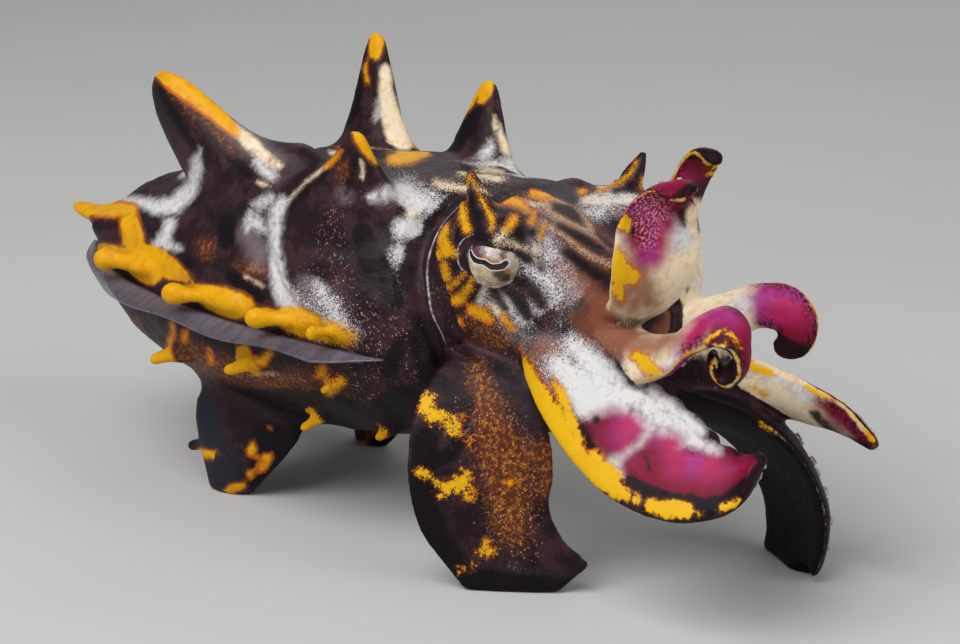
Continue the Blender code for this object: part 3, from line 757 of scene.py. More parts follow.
# %% Camera and sheet
AZIMUTH, ELEVATION = math.radians(40.0), math.radians(15.0)
DISTANCE = 275.0
AIM = Vector((11.735, -5.399, 23.631))
LENS, SENSOR = 100.0, 36.0
SHEET = (960.0, 644.0)
to_camera = Vector((math.sin(AZIMUTH) * math.cos(ELEVATION), -math.cos(AZIMUTH) * math.cos(ELEVATION),
                    math.sin(ELEVATION)))
VIEWPOINT = np.array(AIM - STAND + to_camera * DISTANCE)
sight = -np.array(to_camera)
sheet_right = np.array((math.cos(AZIMUTH), math.sin(AZIMUTH), 0.0))
sheet_up = np.cross(sheet_right, sight)
UNITS = 10.0  # units of the sheet in a millimetre
print("viewpoint", VIEWPOINT.round(1), "mm")


def on_sheet(points):
    """Where each point falls on the sheet."""
    line = np.asarray(points) - VIEWPOINT
    scale = LENS / SENSOR * SHEET[0] / (line @ sight)
    return np.stack([SHEET[0] / 2 + scale * (line @ sheet_right), SHEET[1] / 2 - scale * (line @ sheet_up)], 1)


def turned_over(points):
    """The left half of the body laid over the right one."""
    return points * np.where(points[:, 1:2] > 0, (1, -1, 1), (1, 1, 1))


head_matrix = np.array(head_frame)
head_inverse = np.array(head_frame.inverted())


def in_head(points):
    """Places in the head's own frame."""
    return points @ head_inverse[:3, :3].T + head_inverse[:3, 3]


def head_turned_over(points):
    return turned_over(in_head(points)) @ head_matrix[:3, :3].T + head_matrix[:3, 3]


def marked(spots, strokes):
    """How deep inside the nearest stroke each spot lies, in millimetres. A stroke is a row of x, y, radius."""
    best = np.full(len(spots), -FAR)
    for stroke in strokes:
        row = np.array(stroke, float).reshape(-1, 3)
        if len(row) == 1:
            row = np.vstack([row, row + (0.1, 0, 0)])
        for (ax, ay, ar), (bx, by, br) in zip(row, row[1:]):
            leg = np.array((bx - ax, by - ay))
            t = np.clip(((spots[:, 0] - ax) * leg[0] + (spots[:, 1] - ay) * leg[1]) / (leg @ leg), 0, 1)
            off = np.hypot(spots[:, 0] - ax - leg[0] * t, spots[:, 1] - ay - leg[1] * t)
            best = np.maximum(best, ar + (br - ar) * t - off)
    return best / UNITS


# %% [markdown]
# ## Swellings and creases
# The foot of each papilla swells the flank around it, and the swelling of the front one ends in a step. The
# skin is pushed out along its normal there. Slow noise adds the small dents that every soft body has.

# %% Swell
def normals(points):
    skin.data.vertices.foreach_set("co", points.ravel())
    skin.data.update()
    out = np.empty(len(points) * 3)
    skin.data.vertex_normals.foreach_get("vector", out)
    return out.reshape(-1, 3)


def fade(value, low, high):
    t = np.clip((value - low) / (high - low), 0, 1)
    return t * t * (3 - 2 * t)


def band(value, low, full, still_full, end, high=1.0):
    """Rises from low to full, stays high, and falls again from still_full to end."""
    return high * fade(value, low, full) * (1 - fade(value, still_full, end))


STEP = [(332, 150), (318, 172), (296, 190), (284, 206), (278, 225), (275, 245), (278, 265), (286, 285), (300, 303),
        (322, 318)]  # the edge of the front swelling, from the top down
flank = on_sheet(turned_over(points))
step_x = np.interp(flank[:, 1], [row[1] for row in STEP], [row[0] for row in STEP])
ahead_of_step = (flank[:, 0] - step_x) / UNITS
upright = band(flank[:, 1], 150, 200, 295, 345)
on_mantle = fade(2.0 - distance["mantle"], 0.5, 1.8)
STEP_HIGH, FOLD_HIGH = 0.9, 0.5  # mm, of the step and of the low fold behind it
lift = band(ahead_of_step, -0.5, 0.6, 3.0, 13.0, STEP_HIGH) * upright * on_mantle
lift += band(ahead_of_step, -12, -8, -7.0, -4.5, FOLD_HIGH) * upright * on_mantle
SWELLS = [  # stroke on the sheet, height in mm
    ((245, 225, 12, 225, 265, 10), 0.35), ((345, 330, 10, 380, 350, 14), 0.35), ((395, 250, 10), 0.3),
    ((175, 225, 8, 150, 235, 8), 0.3), ((300, 370, 8), 0.3), ((200, 345, 8), 0.3)]
for stroke, high in SWELLS:
    lift += high * fade(marked(flank, [stroke]), -1.2, 0.8) * on_mantle
print("swellings up to", round(float(lift.max()), 2), "mm")

# %% Collar
COLLAR = [(463, 182), (460, 203), (442, 222), (430, 246), (425, 270), (427, 298), (430, 314), (439, 333), (448, 354),
          (458, 368), (466, 376)]  # the free edge at the back of the head, from the top down
head_spots = on_sheet(head_turned_over(points))
collar_x = np.interp(head_spots[:, 1], [row[1] for row in COLLAR], [row[0] for row in COLLAR])
past_collar = (head_spots[:, 0] - collar_x) / UNITS
NECK, NECK_REACH = -12, 9  # x of the neck, and how far the collar reaches from it
at_neck = (band(head_spots[:, 1], 186, 205, 366, 378) * (abs(points[:, 0] - NECK) < NECK_REACH)
           * (nearest_of(("head", "mantle")) < 2.5))
COLLAR_HIGH, GROOVE_DEEP = 0.8, 1.3  # mm
lift += band(past_collar, -0.25, 0.15, 0.5, 2.8, COLLAR_HIGH) * at_neck
lift -= band(-past_collar, 0.0, 0.35, 1.0, 3.6, GROOVE_DEEP) * at_neck
print("collar on", int((at_neck > 0).sum()), "points")

# %% Dents
DENTS = ((0.16, 0.5), (0.45, 0.18), (1.1, 0.09))  # dents in a millimetre, and their depth
dents = np.array([sum(noise.noise(Vector(place) * often) * deep for often, deep in DENTS) for place in points])
lift += dents * (0.3 + 0.4 * on_mantle)
points += normals(points) * lift[:, None]
points[:, 2] = np.maximum(points[:, 2], 0.0)
skin.data.vertices.foreach_set("co", points.ravel())
skin.data.update()
print("swollen by up to", round(float(lift.max()), 2), "mm")

# %% [markdown]
# ## Fewer triangles
# A voxel mesh is as dense on a flat flank as on a thin edge. Decimate keeps triangles where the skin bends. A
# vertex group tells it to take most of them from the body, because the head carries the finest drawing.

# %% Decimate
LIMIT = 190_000  # triangles
FINE_PART = ("head", "mound_right", "mound_left", "brow_right", "arm_3_right", "arm_2_right", "arm_1_right")
FINE_REACH, FINE_SHARE = 1.5, 0.25  # mm round the fine part, and its share of the thinning


def triangles(obj):
    return sum(len(face.vertices) - 2 for face in obj.data.polygons)


coarse = skin.vertex_groups.new(name="coarse")
for number, far in enumerate(nearest_of(FINE_PART)):
    coarse.add([number], 1.0 if far > FINE_REACH else FINE_SHARE, "REPLACE")
thin = skin.modifiers.new("thin", "DECIMATE")
thin.ratio = min(1.0, LIMIT / triangles(skin))
thin.vertex_group = "coarse"
skin = baked(skin)
skin.vertex_groups.clear()
points, edges = mesh_points(skin.data)
distance, places = look_up(points)
print("skin", len(points), "vertices,", triangles(skin), "triangles")

# %% [markdown]
# ## Who wears which paint
# The skin is parted into zones: the flank, the head, each papilla and each arm. A point between two zones
# takes its paint from both, by how near they are, so no line shows where they meet.

# %% Zones
ZONES = {name: [name] for name in pieces if name.startswith(("arm", "papilla", "brow_left", "tail", "back"))}
ZONES["head"] = [name for name in pieces if name.startswith(("head", "mound", "lid", "brow_right", "bump"))]
ZONES["lobe"] = [name for name in pieces if name.startswith("lobe")]
ZONES["arm_3_right"] += [name for name in pieces if name.startswith("knob")]
taken = {name for group in ZONES.values() for name in group}
ZONES["flank"] = [name for name in pieces if name not in taken]
zone_distance = {zone: nearest_of(group) for zone, group in ZONES.items()}
nearest = np.min(list(zone_distance.values()), axis=0)
BLEND = 1.2  # mm over which one zone fades into the next
zone_share = {zone: np.clip(1 - (far - nearest) / BLEND, 0, 1) for zone, far in zone_distance.items()}
share_sum = np.sum(list(zone_share.values()), axis=0)
straight = on_sheet(points)
over = on_sheet(turned_over(points))
head_over = on_sheet(head_turned_over(points))
SHEETS = {"flank": over, "lobe": over, "head": head_over}
SEEN_FACE = {"arm_1_right": 1, "arm_1_left": 1, "arm_2_right": -1, "arm_2_left": -1, "arm_3_right": -1,
             "arm_3_left": -1, "arm_4_right": -1, "arm_4_left": -1}  # the face of each arm that the sheet shows
print({zone: int((share > 0.5).sum()) for zone, share in zone_share.items()})

# %% [markdown]
# ## The drawing
# Each colour is a list of strokes for each zone. A stroke is a row of numbers: x, y and half width on the
# sheet, again and again, as a brush would go from one place to the next and press harder or lighter.

# %% Yellow and white
YELLOW = {
    "flank": [(138, 250, 8, 156, 260, 13, 172, 270, 10, 186, 278, 5), (104, 254, 11, 122, 254, 7, 140, 254,
        8), (190, 291, 7, 206, 291, 6, 222, 296, 9, 240, 308, 8), (262, 315, 8, 282, 319, 8, 300, 325, 8, 316,
        331, 7), (326, 335, 7, 338, 339, 5, 347, 343, 3), (130, 222, 9, 133, 238, 11), (82, 206, 6, 100, 209,
        7, 118, 209, 7, 132, 210, 5), (168, 345, 1.5, 173, 335, 1.5, 172, 322, 1), (184, 340, 1.5, 186, 330,
        1.2), (262, 362, 4, 270, 352, 3, 275, 346, 1.5), (241, 352, 3, 240, 340, 2), (330, 392, 3, 340, 382,
        5), (321, 374, 3.5, 323, 366, 2.5), (306, 431, 3, 316, 420, 1.5), (383, 434, 4), (211, 362, 1.5, 209,
        350, 1.5)],
    "head": [(470, 175, 1, 463, 190, 2, 461, 203, 3.4, 463, 217, 4, 467, 230, 3.5), (472, 178, 0.8, 480, 196,
        1.2, 486, 208, 1.6, 492, 219, 2.4, 492, 228, 1.5), (446, 226, 3, 442, 239, 5, 446, 250, 7, 455, 254,
        2.5), (439, 255, 4), (444, 266, 3.5, 446, 278, 4), (464, 274, 1.2, 456, 282, 2.2, 444, 290, 3, 433,
        294, 2.5), (474, 277, 1.4, 468, 289, 3, 461, 298, 5, 453, 302, 3), (472, 309, 4, 483, 314, 5, 490,
        320, 3.5), (457, 324, 4.5), (514, 219, 2.8, 506, 230, 3.2), (534, 213, 1.5, 532, 222, 2.8), (543, 226,
        2.2, 541, 238, 2), (498, 202, 2, 511, 200, 3.6, 523, 205, 2.6, 528, 211, 1.5), (535, 193, 4, 543, 194,
        5, 550, 197, 2.5), (504, 318, 2.5, 512, 328, 2.5), (519, 344, 2.5, 526, 353, 3, 532, 366, 5, 537, 380,
        8)],
    "papilla_rear_right": [(158, 72, 5, 174, 82, 8, 190, 92, 9, 206, 104, 8, 222, 118, 7, 236, 132, 4)],
    "papilla_rear_left": [(377, 24, 8, 377, 38, 8, 375, 54, 6), (364, 66, 2, 368, 84, 2), (410, 152, 8, 424,
        147, 6)],
    "papilla_mid_right": [(357, 128, 6, 362, 138, 8, 368, 150, 6, 376, 160, 4), (340, 152, 1.5, 326, 168,
        1.5)],
    "papilla_mid_left": [(488, 76, 6, 486, 90, 7, 482, 100, 4), (478, 92, 3, 468, 108, 2.5, 458, 120, 1.5),
        (440, 146, 5, 420, 152, 7)],
    "brow_left": [(582, 192, 4, 585, 190, 3), (600, 187, 4.5, 611, 184, 2.5, 620, 182, 1.8, 629, 175, 1.3,
        634, 167, 1.0, 637, 160, 0.8), (643, 178, 1.4, 643, 187, 2)],
    "back": [(392, 160, 5, 408, 156, 8, 424, 151, 6, 440, 144, 4), (334, 142, 3, 350, 146, 3), (546, 168, 3)],
    "arm_1_right": [(618, 212, 6, 622, 222, 8, 628, 228, 3), (615, 250, 4, 618, 262, 8, 622, 274, 11, 632,
        276, 7), (617, 288, 6, 620, 296, 4)],
    "arm_1_left": [(700, 142, 3, 712, 148, 3, 719, 160, 3, 716, 171, 3, 706, 172, 2.5), (660, 190, 1)],
    "arm_2_right": [(636, 356, 4, 644, 362, 6, 650, 370, 6, 660, 374, 4, 668, 376, 2), (680, 373, 1.2, 695,
        363, 1.2, 703, 347, 1.3, 712, 335, 1.4, 722, 331, 1.4, 733, 336, 1.3, 740, 348, 1.2), (712, 366, 1,
        718, 352, 1.4, 726, 342, 1.2)],
    "arm_2_left": [(764, 326, 3)],
    "arm_3_right": [(522, 362, 4, 532, 384, 9, 541, 402, 12, 552, 420, 15, 560, 434, 12, 572, 452, 11, 584,
        466, 10, 600, 478, 10, 616, 489, 9, 626, 496, 5), (556, 384, 3, 564, 400, 5, 570, 420, 5, 578, 440,
        5), (594, 456, 5, 606, 468, 6, 618, 478, 5), (636, 499, 4), (652, 506, 7, 668, 509, 9, 686, 510, 8),
        (724, 508, 4, 740, 502, 3), (700, 514, 2)],
    "arm_3_left": [(750, 366, 5, 764, 370, 5, 774, 374, 3), (808, 387, 4, 820, 389, 6, 830, 395, 4), (854,
        412, 3, 864, 419, 4), (870, 430, 2.5, 879, 445, 3.5), (730, 386, 4, 748, 392, 6, 766, 396, 5)],
    "arm_4_right": [(428, 401, 7, 424, 410, 5.5), (430, 420, 3, 440, 414, 4.5, 449, 421, 5, 453, 430, 5.5,
        459, 432, 3), (463, 413, 2, 458, 420, 1.5), (419, 472, 4, 432, 476, 3, 441, 486, 4, 449, 488, 6, 462,
        484, 7, 464, 475, 5), (468, 488, 4, 475, 488, 2), (440, 496, 2.5), (468, 497, 4.5), (486, 543, 3, 484,
        551, 4, 491, 552, 3), (478, 552, 2), (473, 564, 3), (460, 569, 3), (509, 482, 2.5), (469, 442, 2)],
    "arm_4_left": [(765, 424, 4, 778, 429, 3.5)],
    "lobe": [(254, 442, 2, 251, 451, 4.5), (268, 456, 4, 262, 466, 4.5), (250, 475, 3), (243, 486, 3, 232,
        489, 5, 226, 492, 3), (270, 428, 2), (200, 452, 4, 212, 456, 4, 220, 452, 2)],
}
WHITE = {
    "flank": [(271, 198, 3, 262, 203, 4.5, 254, 210, 4.5, 248, 221, 3.5), (282, 202, 5.5, 277, 213, 6.5, 275,
        232, 5.5, 276, 251, 5.5, 277, 270, 6.5, 279, 286, 7.5, 286, 299, 9, 300, 311, 9, 318, 322, 8, 336,
        330, 7), (254, 220, 4.5, 262, 230, 4), (194, 163, 3, 196, 175, 4, 189, 191, 7, 174, 205, 8, 156, 207,
        7, 138, 201, 3.5, 112, 198, 1.5), (170, 223, 5, 164, 238, 6, 158, 243, 5, 177, 248, 3.5), (404, 192,
        11, 418, 200, 11, 437, 210, 12), (402, 228, 10, 418, 231, 15, 430, 234, 12), (403, 256, 11, 418, 266,
        12, 412, 278, 8), (412, 296, 4, 420, 300, 4), (371, 198, 3, 390, 193, 6), (427, 250, 6, 428, 268, 5),
        (316, 282, 3, 327, 303, 7, 336, 320, 8, 350, 333, 5), (246, 228, 3)],
    "head": [(522, 262, 2, 530, 269, 4, 542, 277, 7, 552, 286, 6, 556, 298, 4), (545, 238, 4, 550, 254, 6),
        (520, 318, 5, 530, 332, 8, 536, 344, 7), (505, 300, 4, 514, 312, 4), (560, 333, 9, 576, 340, 13, 592,
        350, 12), (556, 306, 4, 566, 318, 5), (584, 300, 3, 596, 320, 4, 606, 334, 4), (548, 358, 10, 566,
        366, 15, 586, 374, 15), (574, 344, 9, 590, 356, 13, 606, 368, 13), (536, 306, 2, 546, 322, 3), (486,
        288, 1.5, 481, 300, 2.4, 478, 308, 2)],
    "papilla_rear_right": [(196, 172, 5, 198, 150, 2), (258, 163, 4, 268, 172, 5, 277, 178, 3)],
    "papilla_mid_left": [(478, 162, 5, 486, 154, 5, 492, 144, 3)],
    "papilla_rear_left": [(376, 120, 1.5, 378, 100, 1.5)],
    "back": [(170, 190, 3, 178, 177, 4, 187, 171, 3), (533, 173, 3.5, 545, 181, 4.5, 556, 188, 4, 566, 193,
        2), (146, 192, 2, 158, 180, 3)],
    "brow_left": [(594, 197, 4, 610, 200, 6, 628, 198, 5), (586, 214, 4, 598, 212, 5, 606, 208, 4)],
    "arm_1_right": [(668, 221, 6, 677, 232, 9, 685, 238, 8, 673, 246, 6)],
    "arm_1_left": [(690, 262, 4, 697, 285, 4, 694, 300, 4)],
    "arm_2_right": [(659, 374, 3, 668, 366, 4.5, 676, 358, 5, 682, 352, 3), (672, 370, 3), (566, 344, 10, 584,
        358, 13, 600, 372, 13, 614, 382, 8)],
    "arm_2_left": [(722, 318, 5, 738, 311, 8, 752, 312, 8, 764, 317, 5), (770, 340, 3, 772, 350, 2)],
    "arm_3_right": [(560, 366, 14, 575, 382, 20, 592, 398, 22, 612, 408, 18), (572, 346, 10, 590, 360, 14,
        606, 372, 13, 622, 384, 9), (600, 382, 16, 628, 394, 14, 645, 402, 9), (603, 470, 3.5, 610, 462, 5,
        622, 454, 5.5, 634, 446, 6, 648, 436, 6), (640, 404, 8, 654, 412, 9, 676, 425, 10, 690, 438, 9, 702,
        446, 6, 716, 453, 6), (664, 434, 9, 678, 442, 7), (636, 418, 7, 650, 426, 7), (622, 472, 4, 614, 466,
        4), (672, 494, 1.6, 676, 502, 2), (652, 392, 6, 668, 404, 7, 684, 418, 7, 700, 431, 6)],
    "arm_3_left": [(745, 368, 3, 768, 377, 3, 800, 391, 4, 820, 394, 5), (795, 397, 5, 814, 396, 6)],
    "arm_4_right": [(456, 422, 1.5, 464, 430, 1.5)],
}

# %% Cream, magenta and black
CREAM = {
    "flank": [(410, 196, 8, 418, 207, 8, 410, 216, 5), (243, 275, 1.5, 252, 281, 2, 263, 285, 2), (331, 163,
        1.4, 318, 173, 1.2, 306, 182, 1.2, 296, 193, 1.2, 285, 204, 1, 279, 222, 0.8, 276, 240, 1, 278, 262,
        1, 285, 283, 1, 297, 300, 1), (436, 184, 3, 450, 187, 3.5, 466, 189, 3, 478, 190, 2), (462, 172, 3,
        480, 174, 4, 500, 180, 4, 512, 184, 2), (258, 182, 2, 268, 186, 2), (250, 374, 1, 282, 374, 1)],
    "head": [(520, 202, 2, 545, 205, 3, 557, 215, 3.2, 572, 224, 3, 590, 232, 2.6, 603, 240, 2.2, 612, 246,
        2), (544, 223, 1.6, 562, 233, 2, 575, 244, 2, 590, 255, 1.6, 609, 265, 1.4), (506, 230, 3, 498, 241,
        4), (506, 241, 2.5, 516, 245, 3, 526, 251, 3, 533, 257, 3), (541, 238, 2.4), (485, 286, 3, 481, 296,
        4.4, 479, 306, 4.2), (487, 302, 3, 496, 310, 4, 504, 318, 4), (536, 250, 5), (470, 187, 1.5, 490, 192,
        1.5)],
    "papilla_rear_right": [(226, 120, 3, 240, 133, 6, 254, 147, 7, 268, 160, 6, 282, 168, 3)],
    "papilla_rear_left": [(385, 70, 6, 386, 95, 8, 392, 120, 11, 402, 140, 14)],
    "papilla_mid_left": [(494, 118, 3, 500, 135, 4, 508, 152, 5), (515, 162, 5, 527, 171, 5)],
    "papilla_mid_right": [(361, 160, 1.5, 363, 178, 2)],
    "back": [(363, 140, 8, 400, 138, 10, 432, 138, 6), (330, 152, 2, 356, 160, 3), (480, 168, 3, 500, 172,
        3)],
    "brow_left": [(588, 200, 6, 610, 201, 8, 634, 200, 6)],
    "arm_1_right": [(692, 210, 7, 692, 240, 6, 684, 268, 8, 668, 288, 10, 652, 300, 12, 640, 312, 10), (664,
        262, 10)],
    "arm_1_left": [(690, 230, 12, 694, 262, 10, 694, 300, 12)],
    "arm_2_right": [(640, 330, 4, 660, 322, 8, 676, 316, 8, 692, 312, 4), (630, 352, 4, 645, 360, 5)],
    "arm_2_left": [(700, 318, 12, 722, 312, 10, 745, 300, 7), (735, 300, 6)],
    "arm_3_right": [(655, 402, 5, 672, 416, 6), (618, 462, 6), (690, 434, 5)],
    "arm_3_left": [(716, 392, 14, 740, 396, 20, 780, 402, 20, 812, 412, 14), (824, 405, 6)],
}
MAGENTA = {
    "arm_1_right": [(632, 208, 10, 642, 206, 17, 656, 198, 18, 670, 192, 14, 686, 190, 9), (638, 226, 13, 650,
        228, 17, 662, 222, 11), (640, 240, 13, 654, 242, 13), (644, 254, 8, 654, 256, 8)],
    "arm_1_left": [(682, 178, 8, 692, 164, 8, 700, 160, 8, 706, 168, 6)],
    "arm_2_right": [(684, 352, 5, 692, 340, 8, 702, 326, 10, 712, 316, 9, 727, 318, 9, 740, 330, 9, 747, 346,
        8, 744, 362, 6), (652, 379, 4, 672, 380, 4, 692, 374, 5, 712, 362, 4), (700, 360, 5, 711, 349, 5)],
    "arm_2_left": [(742, 298, 9, 756, 290, 10, 772, 290, 11, 788, 296, 14, 800, 308, 14, 794, 322, 13), (776,
        320, 12, 786, 334, 12, 782, 350, 9)],
    "arm_3_right": [(600, 426, 9, 612, 424, 12, 628, 428, 12), (604, 442, 9, 618, 442, 11, 630, 436, 8), (634,
        468, 9, 648, 468, 19, 668, 472, 23, 690, 476, 23, 712, 475, 19, 732, 471, 15, 750, 465, 11), (656,
        446, 10, 672, 444, 8)],
    "arm_3_left": [(822, 404, 5, 834, 410, 9, 850, 422, 11, 866, 434, 9, 874, 440, 5)],
}
BLACK = {
    # On the flank, the stroke from (424, 236) down to (432, 372) is painted shadow: the dark crescent behind the free
    # edge of the collar.
    "flank": [(233, 275, 6, 242, 289, 8, 257, 297, 8), (180, 256, 4, 188, 266, 6), (362, 232, 10, 368, 254,
        13, 380, 277, 13, 396, 300, 9), (333, 160, 3, 322, 178, 3, 300, 196, 3, 289, 210, 2.5, 283, 232, 2.5,
        282, 258, 2.5), (352, 168, 2.5, 350, 182, 3, 345, 195, 2), (148, 226, 3, 154, 238, 2.5), (485, 193,
        1.2, 500, 191, 1.8, 520, 188, 1.6, 545, 189, 1.5, 562, 195, 1.2), (228, 222, 9, 226, 242, 8), (400,
        420, 34), (340, 420, 24, 290, 410, 20, 240, 400, 12), (424, 236, 3, 419, 280, 4, 418, 320, 9, 424,
        345, 13, 432, 372, 15), (390, 370, 10, 400, 340, 6)],
    "head": [(456, 226, 3.5, 458, 240, 3.5), (452, 262, 4.5, 455, 272, 4), (452, 244, 2), (479, 284, 3.6, 473,
        294, 4, 467, 303, 3), (463, 281, 1.4, 456, 289, 1.6, 448, 296, 1.4), (470, 182, 1.6, 471, 200, 5, 474,
        216, 7.5, 477, 236, 7.5), (498, 210, 4.5, 508, 212, 4), (497, 226, 3.5, 504, 218, 3), (522, 216, 6,
        518, 228, 5.5, 522, 238, 5), (532, 232, 4.5), (527, 258, 6, 520, 253, 3), (541, 269, 3), (504, 288,
        3.5, 514, 296, 5, 522, 308, 5.5, 530, 322, 4.5, 538, 334, 3), (525, 282, 4, 534, 292, 5, 541, 304, 5),
        (493, 288, 3.4, 500, 300, 3.5, 505, 308, 3), (556, 208, 4, 572, 216, 4, 590, 224, 4, 606, 232, 4),
        (560, 226, 3, 578, 236, 4.5, 600, 250, 4.5), (566, 252, 4, 590, 270, 5, 606, 284, 5), (470, 345, 9,
        500, 352, 7, 515, 368, 7), (436, 308, 6, 444, 326, 7, 456, 344, 6)],
    "papilla_rear_right": [(158, 90, 4, 176, 120, 5, 196, 150, 4), (196, 120, 3, 222, 150, 4, 250, 176, 4)],
    "papilla_rear_left": [(366, 50, 5, 360, 80, 7, 350, 110, 9, 335, 132, 8)],
    "papilla_mid_left": [(478, 104, 5, 470, 125, 8, 455, 145, 8)],
    "papilla_mid_right": [(356, 150, 3, 353, 172, 4)],
    "brow_left": [(640, 156, 4, 634, 166, 3.2, 624, 174, 3.2, 610, 177, 3.2, 590, 184, 3), (638, 170, 4.5,
        630, 182, 4.5, 616, 190, 3.5), (572, 196, 5)],
    "arm_1_right": [(652, 187, 5, 668, 182, 5, 682, 182, 5, 694, 186, 5), (632, 232, 4), (688, 205, 2, 682,
        212, 2), (662, 196, 2)],
    "arm_1_left": [(690, 154, 6, 700, 150, 6, 709, 158, 7, 714, 168, 5), (686, 280, 2, 690, 300, 2)],
    "arm_2_right": [(708, 366, 4, 716, 352, 4, 724, 345, 4), (712, 371, 5, 722, 366, 9, 732, 362, 8, 736, 350,
        6), (720, 352, 7)],
    "arm_2_left": [(805, 306, 5, 809, 322, 7, 808, 340, 7, 799, 354, 8, 786, 362, 9, 768, 364, 8), (796, 300,
        3), (778, 334, 4, 771, 344, 3), (802, 316, 6)],
    "arm_3_right": [(582, 432, 6, 588, 446, 7, 600, 458, 5), (596, 420, 4), (630, 481, 6, 645, 490, 8, 660,
        497, 8, 678, 501, 8), (650, 508, 9), (690, 500, 7, 705, 507, 8, 722, 503, 9), (738, 450, 6, 748, 445,
        6, 760, 450, 7, 765, 462, 8, 760, 476, 10, 750, 488, 12, 734, 499, 11), (576, 440, 2, 584, 454, 2),
        (650, 470, 1.5, 646, 458, 1.5)],
    "arm_3_left": [(813, 411, 4, 825, 426, 4, 838, 437, 5, 852, 445, 6, 868, 449, 5), (834, 402, 2, 850, 411,
        2), (876, 444, 3)],
    "arm_4_right": [(430, 380, 10, 445, 384, 8), (425, 440, 14, 422, 500, 14, 440, 550, 16, 470, 582, 16, 520,
        594, 20, 570, 594, 16), (470, 400, 5, 455, 450, 8, 440, 460, 8), (500, 370, 6, 520, 380, 6)],
    "arm_4_left": [(700, 380, 30, 760, 440, 40, 790, 500, 40, 790, 560, 40)],
    "lobe": [(270, 440, 18, 262, 480, 14), (300, 440, 20)],
}

# %% Brown, orange, slate and speckle
WARM = {
    "flank": [(206, 248, 9), (240, 267, 4, 252, 271, 7, 263, 270, 6, 258, 280, 3), (140, 330, 10, 200, 360,
        12, 260, 380, 10, 320, 380, 6), (124, 205, 10, 78, 205, 12)],
    "head": [(497, 292, 4, 504, 304, 4), (531, 288, 3.5, 538, 298, 4.5, 543, 309, 4), (480, 335, 10, 500, 345,
        12, 515, 360, 12), (434, 297, 5, 440, 302, 4), (470, 318, 6), (580, 326, 4, 592, 336, 4), (600, 340,
        9, 625, 358, 9), (560, 262, 8, 575, 285, 10, 590, 310, 8), (528, 200, 6, 520, 206, 5)],
    "papilla_rear_right": [(176, 92, 4, 200, 120, 5, 230, 150, 5)],
    "papilla_mid_right": [(345, 170, 8)],
    "arm_1_right": [(622, 284, 9, 632, 290, 8, 618, 272, 7), (640, 262, 14, 636, 300, 12)],
    "arm_2_right": [(595, 330, 18, 620, 342, 14, 642, 350, 10)],
    "arm_3_right": [(530, 362, 9, 545, 380, 8, 548, 396, 5), (595, 452, 4)],
    "arm_3_left": [(720, 400, 6)],
    "arm_4_right": [(474, 368, 6, 484, 398, 14, 491, 424, 20, 499, 448, 24, 507, 472, 25, 510, 496, 24, 510,
        520, 18, 515, 536, 12), (530, 456, 13, 546, 450, 10, 545, 490, 8)],
    "lobe": [(262, 465, 4)],
}
SLATE = {
    "flank": [(150, 350, 30), (180, 385, 12)],
    "head": [(434, 298, 7, 438, 320, 9, 448, 342, 9, 458, 360, 8)],
    "arm_4_right": [(425, 440, 14, 422, 500, 14, 440, 550, 16, 470, 582, 16, 520, 594, 24, 575, 594, 20),
        (526, 394, 4, 531, 412, 4)],
    "arm_4_left": [(826, 480, 12, 836, 540, 14, 815, 575, 16), (760, 560, 8)],
    "lobe": [(190, 385, 22, 205, 430, 20, 225, 480, 18)],
}
SPECKLE = {
    "flank": [(335, 215, 8, 330, 240, 12, 340, 265, 10, 345, 292, 10), (358, 310, 18, 372, 345, 26, 368, 388,
        16), (400, 330, 14, 418, 362, 16), (388, 402, 16, 402, 426, 10), (350, 192, 7), (310, 270, 8, 320,
        300, 12, 335, 320, 12), (430, 290, 8), (395, 190, 16)],
    "head": [(560, 262, 10, 575, 285, 12, 592, 312, 10), (500, 340, 12, 530, 370, 12), (610, 330, 8, 632, 350,
        8), (560, 240, 6), (540, 310, 10), (446, 290, 8), (580, 300, 14, 600, 320, 12)],
    "arm_2_right": [(600, 330, 14, 625, 345, 10)],
    "arm_2_left": [(806, 310, 6, 806, 335, 7, 786, 360, 7)],
    "arm_1_right": [(638, 204, 12, 652, 208, 16, 656, 218, 10), (640, 226, 9, 648, 238, 9)],
    "arm_4_right": [(478, 372, 10, 486, 400, 18, 494, 426, 24, 502, 450, 28, 508, 474, 28, 512, 498, 27, 514,
        524, 24, 520, 548, 18)],
}
# Haze and sheen: a pale lilac bloom, partly frost-like grain of the skin and partly a painted soft highlight, such as
# the one right of the step on the flank.
HAZE_AND_SHEEN = {
    "flank": [(305, 285, 6, 320, 305, 8, 334, 320, 7), (246, 232, 6, 254, 242, 7, 262, 254, 6, 258, 262, 5),
        (390, 194, 5, 380, 196, 4), (345, 196, 3)],
    "head": [(540, 234, 8, 552, 258, 13, 562, 288, 17, 576, 314, 20, 596, 342, 20), (500, 304, 8, 514, 322,
        10, 530, 350, 10), (548, 208, 3, 570, 224, 3), (602, 318, 9, 622, 344, 9), (534, 246, 9), (540, 366,
        14, 570, 376, 18), (504, 292, 3, 510, 304, 3)],
    "arm_2_right": [(596, 326, 12, 620, 340, 13, 644, 348, 12)],
    "arm_3_right": [(548, 350, 14, 562, 376, 16), (600, 450, 6)],
    "brow_left": [(590, 206, 8, 630, 204, 8)],
    "papilla_rear_right": [(222, 116, 5, 240, 130, 8, 256, 146, 9, 272, 160, 8)],
    "arm_1_right": [(640, 205, 4, 650, 215, 4)],
}
